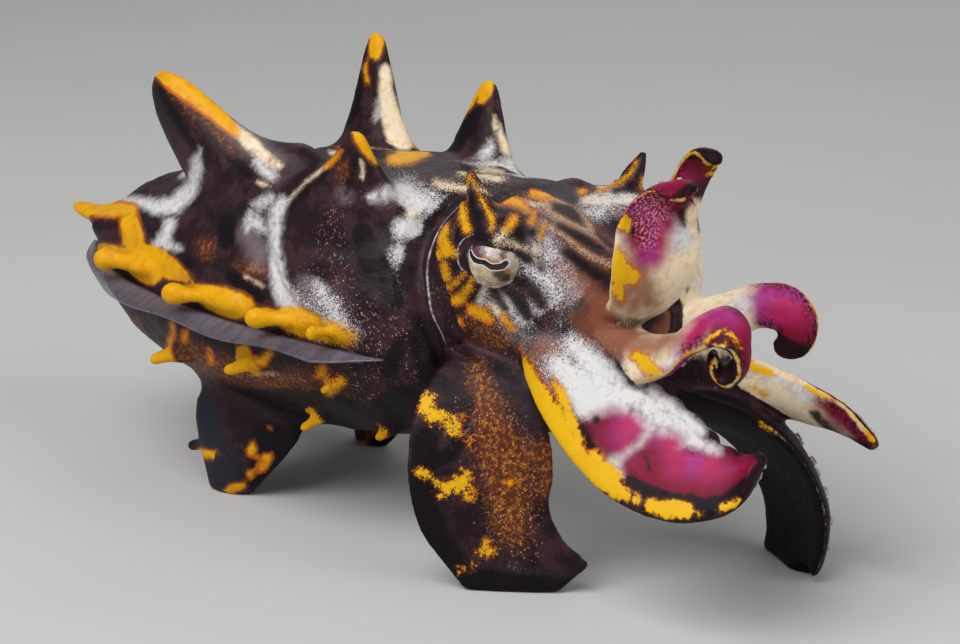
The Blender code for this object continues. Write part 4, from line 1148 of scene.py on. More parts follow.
WASH = {
    "brow_left": [(560, 216, 3, 590, 230, 3, 612, 244, 3), (600, 190, 3)],
    "head": [(548, 207, 3, 557, 215, 3, 572, 224, 3, 590, 232, 3, 603, 240, 2.6, 612, 246, 2), (544, 223, 2,
        562, 233, 2.4, 575, 244, 2.4, 590, 255, 2, 609, 265, 2), (586, 282, 5, 594, 300, 8, 606, 318, 11, 634,
        336, 9), (568, 316, 5, 586, 328, 9, 600, 334, 9), (548, 320, 4, 560, 340, 4)],
    "arm_1_right": [(586, 312, 12, 600, 300, 12, 606, 316, 12), (640, 268, 9, 644, 284, 10, 634, 304, 9),
        (614, 282, 6, 622, 272, 9, 632, 266, 9), (620, 300, 10, 636, 284, 12, 640, 262, 10, 648, 300, 10)],
    "arm_2_right": [(574, 316, 9, 586, 326, 10), (594, 322, 14, 614, 336, 15, 636, 344, 14, 656, 346, 10, 672,
        338, 8)],
    "arm_3_right": [(540, 348, 6, 552, 352, 8, 566, 350, 6), (584, 340, 10, 604, 352, 10, 624, 362, 6)],
}
MARKS = {"wash": WASH, "haze": HAZE_AND_SHEEN, "yellow": YELLOW, "white": WHITE, "cream": CREAM, "magenta": MAGENTA,
         "black": BLACK, "warm": WARM, "slate": SLATE, "speckle": SPECKLE}
print("strokes", {colour: sum(map(len, strokes.values())) for colour, strokes in MARKS.items()})
EDGE_COLOURS = {"arm_1_right": 1, "arm_1_left": 1, "arm_2_right": 1, "arm_2_left": 1, "arm_3_left": 1,
                "arm_3_right": 0.1}  # how yellow the rim of each arm is. The others have a pale lilac rim

# %% [markdown]
# ## Laying the drawing on the skin
# For every colour each vertex gets one number: how deep inside the mark it is, in millimetres, below zero
# outside. The material turns that into paint with a crisp or a ragged edge. The sheet only knows the seen
# face of an arm, so the other face gets cream with a magenta tip, as the inner side of these arms has.

# %% Lay it on
NOTHING = -5.0
CREAM_PART = {"arm_1_right": (7, 16), "arm_1_left": (0, 12), "arm_2_right": (9, 20), "arm_2_left": (0, 16),
              "arm_3_left": (9, 22)}  # mm along each arm where its ground is cream
ROOT = (8.0, 12.0)  # mm along each arm where its paint takes over from the head's
# mm of magenta and of black at the tips of the upper arms, on the face that the sheet doesn't show
TIP_MAGENTA_USUAL, TIP_MAGENTA = 9.0, {"arm_2_right": 17.0}
TIP_BLACK_USUAL, TIP_BLACK = 3.0, {"arm_3_right": 8.0, "arm_2_right": 9.0, "arm_1_right": 1.0, "arm_1_left": 4.5}


def hidden_face(zone):
    """The depths of the marks on the face of an arm that the sheet doesn't show."""
    along, across, _, wide = places[zone].T
    to_tip = pieces[zone].length - along
    if zone.startswith("arm_4"):
        return {"black": 1.5 - 0.1 * to_tip, "slate": 1.0}
    return {"cream": 1.5, "magenta": TIP_MAGENTA.get(zone, TIP_MAGENTA_USUAL) - to_tip,
            "black": TIP_BLACK.get(zone, TIP_BLACK_USUAL) - to_tip,
            "white": 0.6 * wide * (0.3 - abs(across)) + 0.2}


def zone_field(zone, colour):
    strokes = MARKS[colour].get(zone)
    value = np.full(len(points), NOTHING)
    wearer = zone_share[zone] > 0
    if strokes:
        value[wearer] = marked(SHEETS.get(zone, straight)[wearer], strokes)
    if zone.startswith(("papilla", "tail")) and MARKS[colour].get("flank"):
        value[wearer] = np.maximum(value[wearer], marked(over[wearer], MARKS[colour]["flank"]))
    if zone in SEEN_FACE:
        along, _, face, _ = places[zone].T
        hidden = fade(-SEEN_FACE[zone] * face, 0.15, 0.5) * fade(along, *ROOT)
        if colour == "cream" and zone in CREAM_PART:
            first, last = CREAM_PART[zone]
            value = np.maximum(value, band(along, first, first + 5.0, last, last + 3.0, 1.2) - 0.4)
        value = value * (1 - hidden) + hidden_face(zone).get(colour, NOTHING) * hidden
    return np.maximum(value, NOTHING)


fields = {}
for colour in MARKS:
    fields[colour] = sum(zone_share[zone] * zone_field(zone, colour) for zone in ZONES) / share_sum
back_share = fade(points[:, 2], 31.0, 33.5) * fade(1.5 - zone_distance["flank"], 0, 1)
for colour, strokes in MARKS.items():
    if "back" in strokes:
        there = back_share > 0
        extra = np.full(len(points), NOTHING)
        extra[there] = marked(straight[there], strokes["back"])
        fields[colour] = np.maximum(fields[colour], extra * back_share + NOTHING * (1 - back_share))
print(len(fields), "fields")

# %% Yellow clubs, tips and tails
TIP_FROM = {"belly": 1.0, "back_": 1.6}  # mm along a small papilla from which it is yellow
TAIL_FROM = 3.0


def mark_on(name, colour, near, depth, most):
    """Adds a mark to a colour wherever a piece is near, no deeper than most."""
    inside = np.where(distance[name] < near, np.clip(depth, NOTHING, most), NOTHING)
    fields[colour] = np.maximum(fields[colour], inside)


for name in pieces:
    if name.startswith("club"):
        mark_on(name, "yellow", FAR, 0.55 - distance[name], 0.5)
    if name[:5] in TIP_FROM:
        mark_on(name, "yellow", 0.8, places[name][:, 0] - TIP_FROM[name[:5]], 0.8)
    if name.startswith("tail"):
        past = places[name][:, 0] - TAIL_FROM
        mark_on(name, "warm", 1.2, past, 1.0)
        mark_on(name, "yellow", 1.0, past - 1.2, 0.3)

# %% Rims of the arms
NO_RIM = 3.0  # mm from the edge, where nothing of the rim is left
rim, rim_warm = np.full(len(points), NO_RIM), np.zeros(len(points))
for name in SEEN_FACE:
    along, across, _, wide = places[name].T
    length = pieces[name].length
    on_arm = distance[name] < 0.7
    from_tip = np.where(along > 0.7 * length, length - along + 0.3, FAR)
    from_edge = np.minimum(wide * (1 - abs(across)), from_tip)
    from_edge = from_edge + NO_RIM * (1 - fade(along, 0.25 * length, 0.4 * length))
    if name == "arm_3_right":  # this one has no rim of its own
        from_edge = from_edge + NO_RIM
    rim = np.where(on_arm & (zone_share[name] > 0.9), np.minimum(rim, from_edge), rim)
    rim_warm = np.where(on_arm, EDGE_COLOURS.get(name, 0.0), rim_warm)
print("rims on", int((rim < 0.3).sum()), "points")

# %% Crown
own = in_head(points)
crown = fade(own[:, 1], 0.8, 2.0) * fade(own[:, 2], 4.5, 6.5) * zone_share["head"] / share_sum
seen_crown = crown > 0
for colour, strokes in MARKS.items():  # the crown beyond the middle line shows on the sheet itself
    value = np.full(len(points), NOTHING)
    if "brow_left" in strokes:
        value[seen_crown] = np.maximum(marked(straight[seen_crown], strokes["brow_left"]), NOTHING)
    fields[colour] = fields[colour] * (1 - crown) + value * crown
print("crown of", int(seen_crown.sum()), "points")

# %% Fields for the material
fields["rim"] = rim
fields["rim_warm"] = neighbour_mean(neighbour_mean(rim_warm))
flesh_share = np.sum([zone_share[zone] for zone in ZONES if zone in SEEN_FACE], axis=0) / share_sum
fields["arm"] = neighbour_mean(flesh_share)
# how grainy the paint is: like frost on the head and the shoulder, smooth on the papillae and the arm tips
GRAIN = {"head": 1.0, "arm_4_right": 0.8, "arm_4_left": 0.6, "brow_left": 0.5}
LEAST_GRAIN = 0.12
grains = {zone: np.full(len(points), GRAIN.get(zone, LEAST_GRAIN)) for zone in ZONES}
grains["flank"] = np.maximum(fade(over[:, 0], 325, 390), fade(over[:, 1], 270, 300) * fade(over[:, 0], 275, 300))
for zone, smooth_from in (("arm_3_right", 12.0), ("arm_2_right", 6.0), ("arm_1_right", 5.0)):
    grains[zone] = LEAST_GRAIN + 0.8 * (1 - fade(places[zone][:, 0], smooth_from - 5.0, smooth_from + 5.0))
fields["grain"] = sum(zone_share[zone] * grains[zone] for zone in ZONES) / share_sum
fields["belly"] = fade(-points[:, 2], -21.0, -15.0) * fade(1.2 - zone_distance["flank"], 0, 1)
for name, values in fields.items():
    layer = skin.data.attributes.new(name, "FLOAT", "POINT")
    layer.data.foreach_set("value", values.astype(np.float32))
print("painted", {name: round(float((values > 0).mean()), 3) for name, values in fields.items()})

# %% [markdown]
# ## Mixing materials
# A material is a small machine of nodes: fields and noise go in, and one colour comes out. Wiring nodes by
# hand takes many lines, so this helper adds a node and plugs in its wires at once, as dragging would.


# %% Node helper
class Mixer:
    """One material, and the nodes that are added to it."""

    def __init__(self, name):
        self.material = bpy.data.materials.new(name)
        self.material.use_nodes = True
        self.tree = self.material.node_tree
        self.shader = self.tree.nodes["Principled BSDF"]
        self.where = self.tree.nodes.new("ShaderNodeTexCoord").outputs["Object"]
        self.colour = None

    def plug(self, socket, value):
        if isinstance(value, bpy.types.NodeSocket):
            self.tree.links.new(value, socket)
        else:
            socket.default_value = value

    def node(self, kind, wires, **settings):
        made = self.tree.nodes.new("ShaderNode" + kind)
        for key, value in settings.items():
            setattr(made, key, value)
        for socket, value in wires.items():
            self.plug(made.inputs[socket], value)
        return made

    def field(self, name):
        return self.node("Attribute", {}, attribute_name=name).outputs["Fac"]

    def math(self, how, a, b=0.0, clamp=False):
        return self.node("Math", {0: a, 1: b}, operation=how, use_clamp=clamp).outputs[0]

    def add(self, *values):
        total = values[0]
        for value in values[1:]:
            total = self.math("ADD", total, value)
        return total

    def times(self, *values):
        total = values[0]
        for value in values[1:]:
            total = self.math("MULTIPLY", total, value)
        return total

    def step(self, value, low, high):
        wires = {"Value": value, "From Min": low, "From Max": high}
        return self.node("MapRange", wires, interpolation_type="SMOOTHSTEP").outputs["Result"]

    def stretched(self, scale):
        return self.node("Mapping", {"Vector": self.where, "Scale": scale}).outputs["Vector"]

    def noise(self, size, detail=2.0, rough=0.55, where=None):
        """Noise whose lumps are about size millimetres across. It lies around 0.5."""
        wires = {"Vector": where or self.where, "Scale": 1 / (size * MM), "Detail": detail, "Roughness": rough}
        return self.node("TexNoise", wires).outputs["Fac"]

    def wobble(self, size, amount, detail=2.0, where=None):
        return self.times(self.math("SUBTRACT", self.noise(size, detail, where=where), 0.5), amount)

    def patchy(self, size, low, high, detail=2.0):
        """Noise cut into patches with soft edges."""
        return self.step(self.noise(size, detail), low, high)

    def cells(self, size, feature="F1"):
        """How far each place is from the middle of its cell, or from its edge. Cells are about size mm across."""
        wires = {"Vector": self.where, "Scale": 1 / (size * MM)}
        return self.node("TexVoronoi", wires, feature=feature).outputs["Distance"]

    def mix(self, share, under, over):
        return self.node("Mix", {0: share, 6: under, 7: over}, data_type="RGBA", clamp_factor=True).outputs[2]

    def lay(self, tone, *shares):
        """Lays a tone over the colour so far, by the product of the shares."""
        self.colour = self.mix(self.times(*shares), self.colour, tone)

    def bump(self, height, deep, under=None):
        wires = {"Height": height, "Distance": deep * MM}
        if under:
            wires["Normal"] = under
        return self.node("Bump", wires).outputs["Normal"]

    def finish(self, **sockets):
        for name, value in sockets.items():
            self.plug(self.shader.inputs[name.replace("_", " ")], value)
        return self.material


# %% [markdown]
# ## The skin's material
# The skin holds sacs of pigment, thousands of them, that the animal opens and closes. So no patch of colour
# is flat: the dark ground is made of fine dots, white is grainy like frost with dark flecks between the
# grains, and yellow fades to orange at its edge. The layers go on in a painter's order, from the ground up.

# %% Colours
DARK = (0.016, 0.008, 0.011, 1)
DARK_WARM = (0.042, 0.018, 0.021, 1)
BLACK_BROWN = (0.006, 0.004, 0.006, 1)
RED_BROWN = (0.105, 0.027, 0.012, 1)
RUST = (0.36, 0.115, 0.016, 1)
SLATE_GREY = (0.018, 0.019, 0.028, 1)
COPPER = (0.50, 0.30, 0.24, 1)
CREAM_LIGHT = (0.80, 0.67, 0.47, 1)
CREAM_DEEP = (0.68, 0.51, 0.34, 1)
PEACH = (0.23, 0.071, 0.034, 1)
HONEY = (0.72, 0.34, 0.09, 1)
FROST = (0.64, 0.63, 0.62, 1)
FROST_SHADE = (0.45, 0.42, 0.44, 1)
ROSE = (0.44, 0.024, 0.120, 1)
ROSE_DEEP = (0.19, 0.005, 0.026, 1)
ROSE_COOL = (0.36, 0.036, 0.21, 1)
PINK = (0.72, 0.36, 0.48, 1)
GOLD = (0.68, 0.315, 0.002, 1)
GOLD_DEEP = (0.60, 0.215, 0.001, 1)
LEMON = (0.76, 0.47, 0.012, 1)
IVORY = (0.68, 0.52, 0.22, 1)
ORANGE = (0.50, 0.115, 0.005, 1)
LILAC = (0.30, 0.26, 0.35, 1)
# pale lilac of the haze marks: partly frost on the skin, partly painted sheen
HOAR_AND_SHEEN = (0.55, 0.44, 0.45, 1)
BELLY_DARK = (0.022, 0.008, 0.007, 1)
BELLY_BROWN = (0.090, 0.024, 0.009, 1)

# %% Skin ground
paint = Mixer("skin")
grain_share = paint.field("grain")
ragged = paint.add(paint.wobble(1.5, 0.7), paint.wobble(0.45, 0.25))
stipple = paint.wobble(0.17, paint.add(0.35, paint.times(grain_share, 3.6)), 1.0)
dots = paint.cells(0.30)


def depth_of(name, rough, spread):
    """The depth in a mark, drawn out where the paint is grainy and dithered by the stipple."""
    soft = paint.math("SUBTRACT", 1.0, paint.times(grain_share, 0.5 * spread))
    return paint.add(paint.times(paint.field(name), soft), paint.times(ragged, rough), paint.times(stipple, spread))


slow = paint.add(paint.noise(3.2), paint.wobble(0.7, 0.4))
paint.colour = paint.mix(paint.step(slow, 0.42, 0.66), DARK, DARK_WARM)
paint.lay(RED_BROWN, paint.step(dots, 0.40, 0.2), paint.patchy(0.3, 0.5, 0.62), 0.35)
streaks = paint.noise(0.6, 3.0, where=paint.stretched((1.0, 1.0, 0.22)))
belly = paint.mix(paint.step(streaks, 0.52, 0.70), BELLY_DARK, BELLY_BROWN)
paint.lay(belly, paint.field("belly"), 0.85)
warm = paint.step(paint.add(paint.times(paint.field("warm"), 0.8), ragged, stipple), -0.7, 0.8)
paint.lay(paint.mix(paint.patchy(0.45, 0.46, 0.66, 3.0), RED_BROWN, RUST), warm, 0.85)
paint.lay(SLATE_GREY, paint.step(paint.add(paint.field("slate"), ragged), -0.9, 1.2), 0.85)
print("ground", len(paint.tree.nodes), "nodes")

# %% Grains on the ground
sparse = paint.step(paint.add(paint.field("speckle"), ragged), -1.2, 1.0)
grit = paint.times(paint.step(dots, 0.34, 0.20), paint.patchy(0.9, 0.40, 0.58))
paint.lay(paint.mix(warm, COPPER, HONEY), sparse, grit, 0.75)
glint = paint.times(paint.step(paint.cells(0.19), 0.30, 0.16), paint.patchy(1.6, 0.46, 0.62, 3.0))
paint.lay(HONEY, warm, glint, grain_share, 0.85)
stray = paint.times(paint.step(paint.cells(0.75), 0.15, 0.09), paint.patchy(1.5, 0.5, 0.6))
paint.lay(COPPER, stray, grain_share, 0.6)
# The pale lilac bloom of the haze marks: partly frost-like grain, partly a painted soft sheen.
crystals = paint.step(paint.add(paint.noise(0.17, 1.0), paint.wobble(0.7, 0.35)), 0.44, 0.62)
frost_and_sheen_share = paint.mix(grain_share, (0.38, 0.38, 0.38, 1), paint.add(0.22, paint.times(crystals, 0.72)))
paint.lay(HOAR_AND_SHEEN, paint.step(paint.add(paint.field("haze"), ragged), -1.3, 1.0), frost_and_sheen_share, 0.75)
print("with grains", len(paint.tree.nodes), "nodes")

# %% [markdown]
# ### Cream, white, rose, black and yellow
# Each field is a depth in millimetres, so adding noise to it roughens the edge of the patch by as much. A
# wide step gives the soft edge of an airbrush, a narrow one the crisp edge of the yellow.


# %% Cream and white skin
def tone_of(name, size, rise, low, high, edge, heart, detail=3.0):
    """Mottled, from the tone at a mark's edge to the one at its heart."""
    depth = paint.add(paint.noise(size, detail), paint.times(paint.field(name), rise))
    return paint.mix(paint.step(depth, low, high), edge, heart)


cream = paint.step(depth_of("cream", 0.7, 0.45), -0.30, 0.36)
paint.lay(tone_of("cream", 0.9, 0.08, 0.38, 0.62, CREAM_DEEP, CREAM_LIGHT), cream)
paint.lay(PEACH, paint.step(paint.add(paint.field("wash"), paint.wobble(1.2, 1.0)), -1.2, 1.0), 0.85)
white = paint.step(depth_of("white", 1.0, 0.8), -0.55, 0.45)
fleck = paint.times(paint.step(dots, 0.26, 0.14), paint.patchy(0.6, 0.44, 0.6), grain_share)
white = paint.math("SUBTRACT", white, paint.times(fleck, 0.7), clamp=True)
paint.lay(tone_of("white", 0.6, 0.12, 0.36, 0.62, FROST_SHADE, FROST), white)
print("with cream and white", len(paint.tree.nodes), "nodes")

# %% Rose and black skin
rose = paint.step(paint.add(paint.times(paint.field("magenta"), 0.7), paint.times(ragged, 0.8)), -1.0, 0.5)
near_black = paint.step(paint.add(paint.field("black"), paint.wobble(1.5, 0.8)), -3.4, -0.2)
clouds = paint.math("MAXIMUM", near_black, paint.times(paint.patchy(1.4, 0.62, 0.42, 3.0), 0.35))
paint.lay(paint.mix(clouds, paint.mix(paint.patchy(3.0, 0.42, 0.60), ROSE, ROSE_COOL), ROSE_DEEP), rose)
spark = paint.times(paint.step(paint.field("speckle"), -0.8, 0.6), rose, paint.patchy(0.22, 0.50, 0.62, 1.0))
paint.lay(PINK, spark, 0.75)
paint.lay(BLACK_BROWN, paint.step(depth_of("black", 0.55, 0.35), -0.26, 0.26), 0.94)
by_edge = paint.step(paint.add(paint.field("rim"), paint.wobble(0.9, 1.6)), 1.5, 0.3)
paint.lay(BLACK_BROWN, by_edge, paint.patchy(0.3, 0.42, 0.56), rose, 0.85)
print("with rose and black", len(paint.tree.nodes), "nodes")

# %% Yellow skin and rims
arm_share = paint.field("arm")
gold_depth = paint.add(depth_of("yellow", 0.45, 0.32), paint.times(paint.wobble(0.5, 1.3, 3.0), arm_share))
orange_share = paint.add(0.2, paint.times(paint.step(paint.field("warm"), -2.5, 0.0), 0.65))
paint.lay(ORANGE, paint.step(gold_depth, -0.40, -0.12), orange_share)
gold_tone = tone_of("yellow", 1.2, 0.12, 0.36, 0.60, GOLD_DEEP, GOLD, 2.0)
gold_tone = paint.mix(paint.add(0.15, paint.times(arm_share, 0.45)), gold_tone, LEMON)
paint.lay(gold_tone, paint.step(gold_depth, -0.15, 0.18))
rim_tone = paint.mix(paint.field("rim_warm"), LILAC, paint.mix(paint.patchy(1.5, 0.42, 0.58), GOLD, IVORY))
rim_share = paint.step(paint.add(paint.field("rim"), paint.wobble(0.8, 0.4)), 0.24, 0.08)
paint.lay(rim_tone, rim_share, 0.75)
print("with yellow and rims", len(paint.tree.nodes), "nodes")

# %% [markdown]
# ### A wet surface
# Fine folds and grains catch the light, and a film of water lies over everything. The film is the coat of the
# shader, and it follows the folds only half as much as the skin below it.

# %% Skin shine
coarse = paint.add(0.3, paint.times(grain_share, 0.7))
height = paint.add(paint.noise(0.9, 2.0), paint.times(white, grain_share, 0.5), paint.times(dots, 0.15))
height = paint.times(height, coarse)
relief = paint.bump(height, 0.10)
relief = paint.bump(paint.times(paint.noise(0.2, 1.0), coarse), 0.025, relief)
film = paint.bump(paint.add(height, paint.times(paint.noise(0.3, 2.0), coarse, 0.5)), 0.06)
rough = paint.add(0.38, paint.times(paint.noise(0.9), 0.24))
coat = paint.add(0.10, paint.times(arm_share, -0.06))
skin_finish = paint.finish(Base_Color=paint.colour, Roughness=rough, Normal=relief, Coat_Weight=coat,
                           Coat_Roughness=0.26, Coat_Normal=film, Specular_IOR_Level=0.07, Subsurface_Weight=0.08,
                           Subsurface_Radius=(0.0012, 0.0006, 0.0004), Subsurface_Scale=1.0)
skin.data.materials.clear()
skin.data.materials.append(skin_finish)
print("skin material", len(paint.tree.nodes), "nodes")

# %% [markdown]
# ## Setting a piece down
# A piece is made in the same millimetres as the skin. This moves its mesh to the stand, turns millimetres
# into metres, and says which body it rides on.


# %% Set down
def set_down(obj, finish, slot, *nodes):
    obj.data.transform(Matrix.Scale(MM, 4) @ Matrix.Translation(STAND))
    obj.data.shade_smooth()
    if not obj.data.materials:
        obj.data.materials.append(finish)
    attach(obj, "root")
    if nodes:
        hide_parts(*nodes)
    return obj


def piece_from(body, name):
    """A Blender object from a bmesh, still in millimetres."""
    mesh = bpy.data.meshes.new(name)
    body.to_mesh(mesh)
    body.free()
    return placed(name, mesh)


skin_tree = BVHTree.FromPolygons([Vector(place) for place in points],
                                 [list(face.vertices) for face in skin.data.polygons])
set_down(skin, skin_finish, "skin", *[name for name in frame["nodes"] if not name.startswith(("eye", "fin"))])

# %% [markdown]
# ## Fins
# A thin frill runs along each side and ripples all the time. In the editor it would be a grid, pulled into
# shape and given a thickness with Solidify. The inner edge is sunk into the body, so no gap shows.

# %% Fin sheet
FIN_ENDS = (-17.5, -72.0)
FIN_RIPPLES = 7.0  # waves from end to end, in half turns
FIN_SUNK = 1.6


def fin_reach(t):
    """How far the fin stands out at this share of its length."""
    return 3.0 * float(np.interp(t, [0.0, 0.12, 0.72, 0.92, 1.0], [0.15, 0.95, 1.0, 0.62, 0.28]))


def fin(side):
    way = -SIDES[side]
    body = bmesh.new()
    bmesh.ops.create_grid(body, x_segments=150, y_segments=14, size=0.5)
    out = body.verts.layers.float.new("out")
    run = body.verts.layers.float.new("run")
    for vertex in body.verts:
        t, v = vertex.co.x + 0.5, vertex.co.y + 0.5
        x = FIN_ENDS[0] + (FIN_ENDS[1] - FIN_ENDS[0]) * t
        z = fin_line(x) - 0.6
        sway = math.sin(FIN_RIPPLES * math.pi * t) * 0.22 + math.sin(17 * t + 1.0) * 0.1
        rise = 2.2 * max(t - 0.75, 0.0) / 0.25
        reach = v * (FIN_SUNK + fin_reach(t)) - FIN_SUNK
        past = max(reach, 0.0) / 3.0
        vertex[out], vertex[run] = past, t
        droop = past * (0.7 + sway - rise)
        vertex.co = Vector((x - 0.5 * past, way * (mantle_reach(x, z) + reach), z - droop - past**2 * 0.3))
    bmesh.ops.recalc_face_normals(body, faces=body.faces)
    bmesh.ops.solidify(body, geom=body.faces[:], thickness=0.14)
    bmesh.ops.recalc_face_normals(body, faces=body.faces)
    return piece_from(body, "fin_" + side + "_frill")


# %% Fin material
FIN_TONES = ((0.090, 0.080, 0.105, 1), (0.135, 0.124, 0.160, 1))
FIN_DOTS = (0.20, 0.15, 0.19, 1)
FIN_EDGE = (0.33, 0.31, 0.42, 1)
frill = Mixer("fin")
out = frill.field("out")
rays = frill.noise(0.7, 3.0, where=frill.stretched((1.0, 0.25, 0.25)))
frill.colour = frill.mix(frill.step(rays, 0.38, 0.66), *FIN_TONES)
frill.lay(FIN_DOTS, frill.step(frill.cells(0.45), 0.25, 0.12), 0.35)
frill.lay(FIN_EDGE, frill.step(out, 0.93, 1.02), 0.7)
frill.lay(DARK, frill.step(out, 0.18, 0.0))
fin_finish = frill.finish(Base_Color=frill.colour, Roughness=frill.add(0.34, frill.times(rays, 0.1)),
                          Coat_Weight=0.2, Coat_Roughness=0.18, Subsurface_Weight=0.15, Subsurface_Scale=1.0,
                          Subsurface_Radius=(0.001, 0.0008, 0.001),
                          Alpha=frill.add(0.95, frill.times(frill.step(out, 0.2, 1.0), -0.46)),
                          Normal=frill.bump(frill.noise(0.5), 0.05))
for side in SIDES:
    set_down(fin(side), fin_finish, "fin_membrane", "fin_" + side)
print("fins", len(frill.tree.nodes), "nodes")

# %% [markdown]
# ## Eyes
# A cuttlefish's pupil is a slit bent like a W, with a pale line round it. The iris is beige with a fine net
# below it, and dark and pale patches above, and a painted highlight lies over the pupil. The ball is dense,
# so that these few marks can be drawn on its vertices with the same strokes as the skin, here in tenths of a
# millimetre from the middle of the eye.

# %% Eye marks
EYE_MARKS = {
    "pupil": [(-23.5, 11, 1.0, -21.8, 6.1, 1.8, -18.6, 2.3, 2.4, -14.2, 1.0, 2.5, -9.0, 0.4, 2.4, -5.2, -2.2, 2.5,
               -2.0, -4.1, 2.7, 3.7, -4.1, 3.0, 8.8, -3.2, 3.1, 12.0, -0.3, 2.7)],
    "purple": [(-20, 13, 5, -12, 10, 7, -8, 14, 4), (-18, 18, 5, -10, 18, 5)],
    # frost and highlight: the strokes just over the pupil are a painted highlight, the one at the front is a pale
    # patch of the iris
    "frost_and_highlight": [(-4, 13, 3.5, 0, 14, 4.5, 4, 12, 3), (16, 8, 3, 17, 2, 3, 16, -4, 2), (-5, 8, 2, 2, 6, 3)],
    "rust": [(-8, 6, 3, -2, 4, 3, 3, 3, 3, 2, 0, 2), (15, -3, 3, 14, -8, 3)],
    "shade": [(9, 12, 4, 14, 12, 4, 20, 10, 5), (4, -11, 5, 9, -12, 7, 12, -14, 5), (8, 8, 3, 12, 6, 2)],
}


def eyeball(side):
    body = bmesh.new()
    turn = Matrix((eye_front, eye_up, eye_out)).transposed().to_4x4()
    bmesh.ops.create_uvsphere(body, u_segments=192, v_segments=96, radius=EYE_RADIUS)
    spots = np.array([vertex.co[:2] for vertex in body.verts]) * UNITS
    layers = {name: body.verts.layers.float.new(name) for name in EYE_MARKS}
    for name, strokes in EYE_MARKS.items():
        deep = marked(spots, strokes)
        for vertex, value in zip(body.verts, deep):
            vertex[layers[name]] = value if vertex.co.z > 0 else -2.0
    for vertex in body.verts:
        along, out, up = np.array(EYE) + np.array(turn @ vertex.co)
        vertex.co = on_head(along, SIDES[side] * out, up)
    body.normal_update()  # the points have moved, and the next step needs their new normals
    bmesh.ops.recalc_face_normals(body, faces=body.faces)
    return piece_from(body, "eyeball_" + side)


# %% Eye material
EYE_TONES = {  # where each mark starts and is full, and its tone
    "shade": (-0.35, 0.3, (0.045, 0.026, 0.018, 1)),
    "purple": (-0.3, 0.25, (0.085, 0.03, 0.045, 1)),
    "rust": (-0.25, 0.2, (0.33, 0.13, 0.04, 1)),
    # a pale tone, laid on the pale patch of the iris and on the painted highlight over the pupil
    "frost_and_highlight": (-0.2, 0.15, (0.50, 0.41, 0.38, 1)),
}
iris = Mixer("eye")
net = iris.cells(0.30, "DISTANCE_TO_EDGE")
iris.colour = iris.mix(iris.patchy(0.8, 0.38, 0.64, 3.0), (0.36, 0.26, 0.16, 1), (0.62, 0.50, 0.32, 1))
iris.lay((0.66, 0.60, 0.48, 1), iris.step(net, 0.10, 0.02), 0.6)
iris.lay((0.10, 0.07, 0.05, 1), iris.patchy(0.2, 0.6, 0.5), 0.25)
wavy = iris.add(iris.wobble(0.5, 0.6), iris.wobble(0.16, 0.5))
for mark, (low, high, tone) in EYE_TONES.items():
    iris.lay(tone, iris.step(iris.add(iris.field(mark), wavy), low, high))
slit = iris.field("pupil")
iris.lay((0.80, 0.62, 0.58, 1), iris.step(slit, -0.13, -0.08))
iris.lay((0.003, 0.004, 0.005, 1), iris.step(slit, -0.03, 0.01))
eye_finish = iris.finish(Base_Color=iris.colour, Roughness=0.25, Coat_Weight=0.7, Coat_Roughness=0.05, Coat_IOR=1.38,
                         Specular_IOR_Level=0.4, Normal=iris.bump(iris.add(iris.noise(0.25), net), 0.04))
for side in SIDES:
    set_down(eyeball(side), eye_finish, "eye", "eye_" + side)
print("eyes", len(iris.tree.nodes), "nodes")

# %% [markdown]
# ### The rim of the eye, and the fold behind it
# A thin, clear skin closes over the eyeball, and its edge shows as a light line. Behind the eye lies a small
# fold with the same kind of edge. Both are thin tubes, laid on the ball or on the skin.

# %% Eye rims
RIM_WIDE, RIM_HIGH = 2.72, 2.46
RIM_POINTS = 72
FOLD = [(474, 234), (463, 240), (458, 250), (458, 260), (461, 268), (468, 274)]  # on the sheet


def landed(spot, above):
    """The place where the line of sight through a spot of the sheet meets the skin, and a little above it."""
    u, v = spot
    scale = SENSOR / LENS / SHEET[0]
    line = sight + sheet_right * (u - SHEET[0] / 2) * scale - sheet_up * (v - SHEET[1] / 2) * scale
    place, normal, _, _ = skin_tree.ray_cast(Vector(VIEWPOINT), Vector(line))
    return place + normal * above


def thin_tube(name, places, radius, closed):
    """A tube through many places, eight sides round."""
    body = bmesh.new()
    rings = []
    count = len(places)
    for k, place in enumerate(places):
        after = places[(k + 1) % count] if closed else places[min(k + 1, count - 1)]
        before = places[k - 1] if closed else places[max(k - 1, 0)]
        turn = (after - before).to_track_quat("Z", "Y").to_matrix().to_4x4()
        share = 1.0 if closed else max(math.sin(math.pi * (k + 0.5) / count), 0.3)
        rings.append(bmesh.ops.create_circle(body, segments=8, radius=radius * share,
                                             matrix=Matrix.Translation(place) @ turn)["verts"])
    bridge(body, rings, closed)
    bmesh.ops.recalc_face_normals(body, faces=body.faces)
    if body.calc_volume(signed=True) < 0:  # a thin, bent tube may still come out inside out
        bmesh.ops.reverse_faces(body, faces=body.faces)
    return piece_from(body, name)


def on_other_side(places, turn):
    """Places on the right side of the head, laid on the skin of this side."""
    own = [head_back @ place for place in places]
    there = [head_frame @ Vector((place.x, turn * place.y, place.z)) for place in own]
    return [skin_tree.find_nearest(place)[0] for place in there]


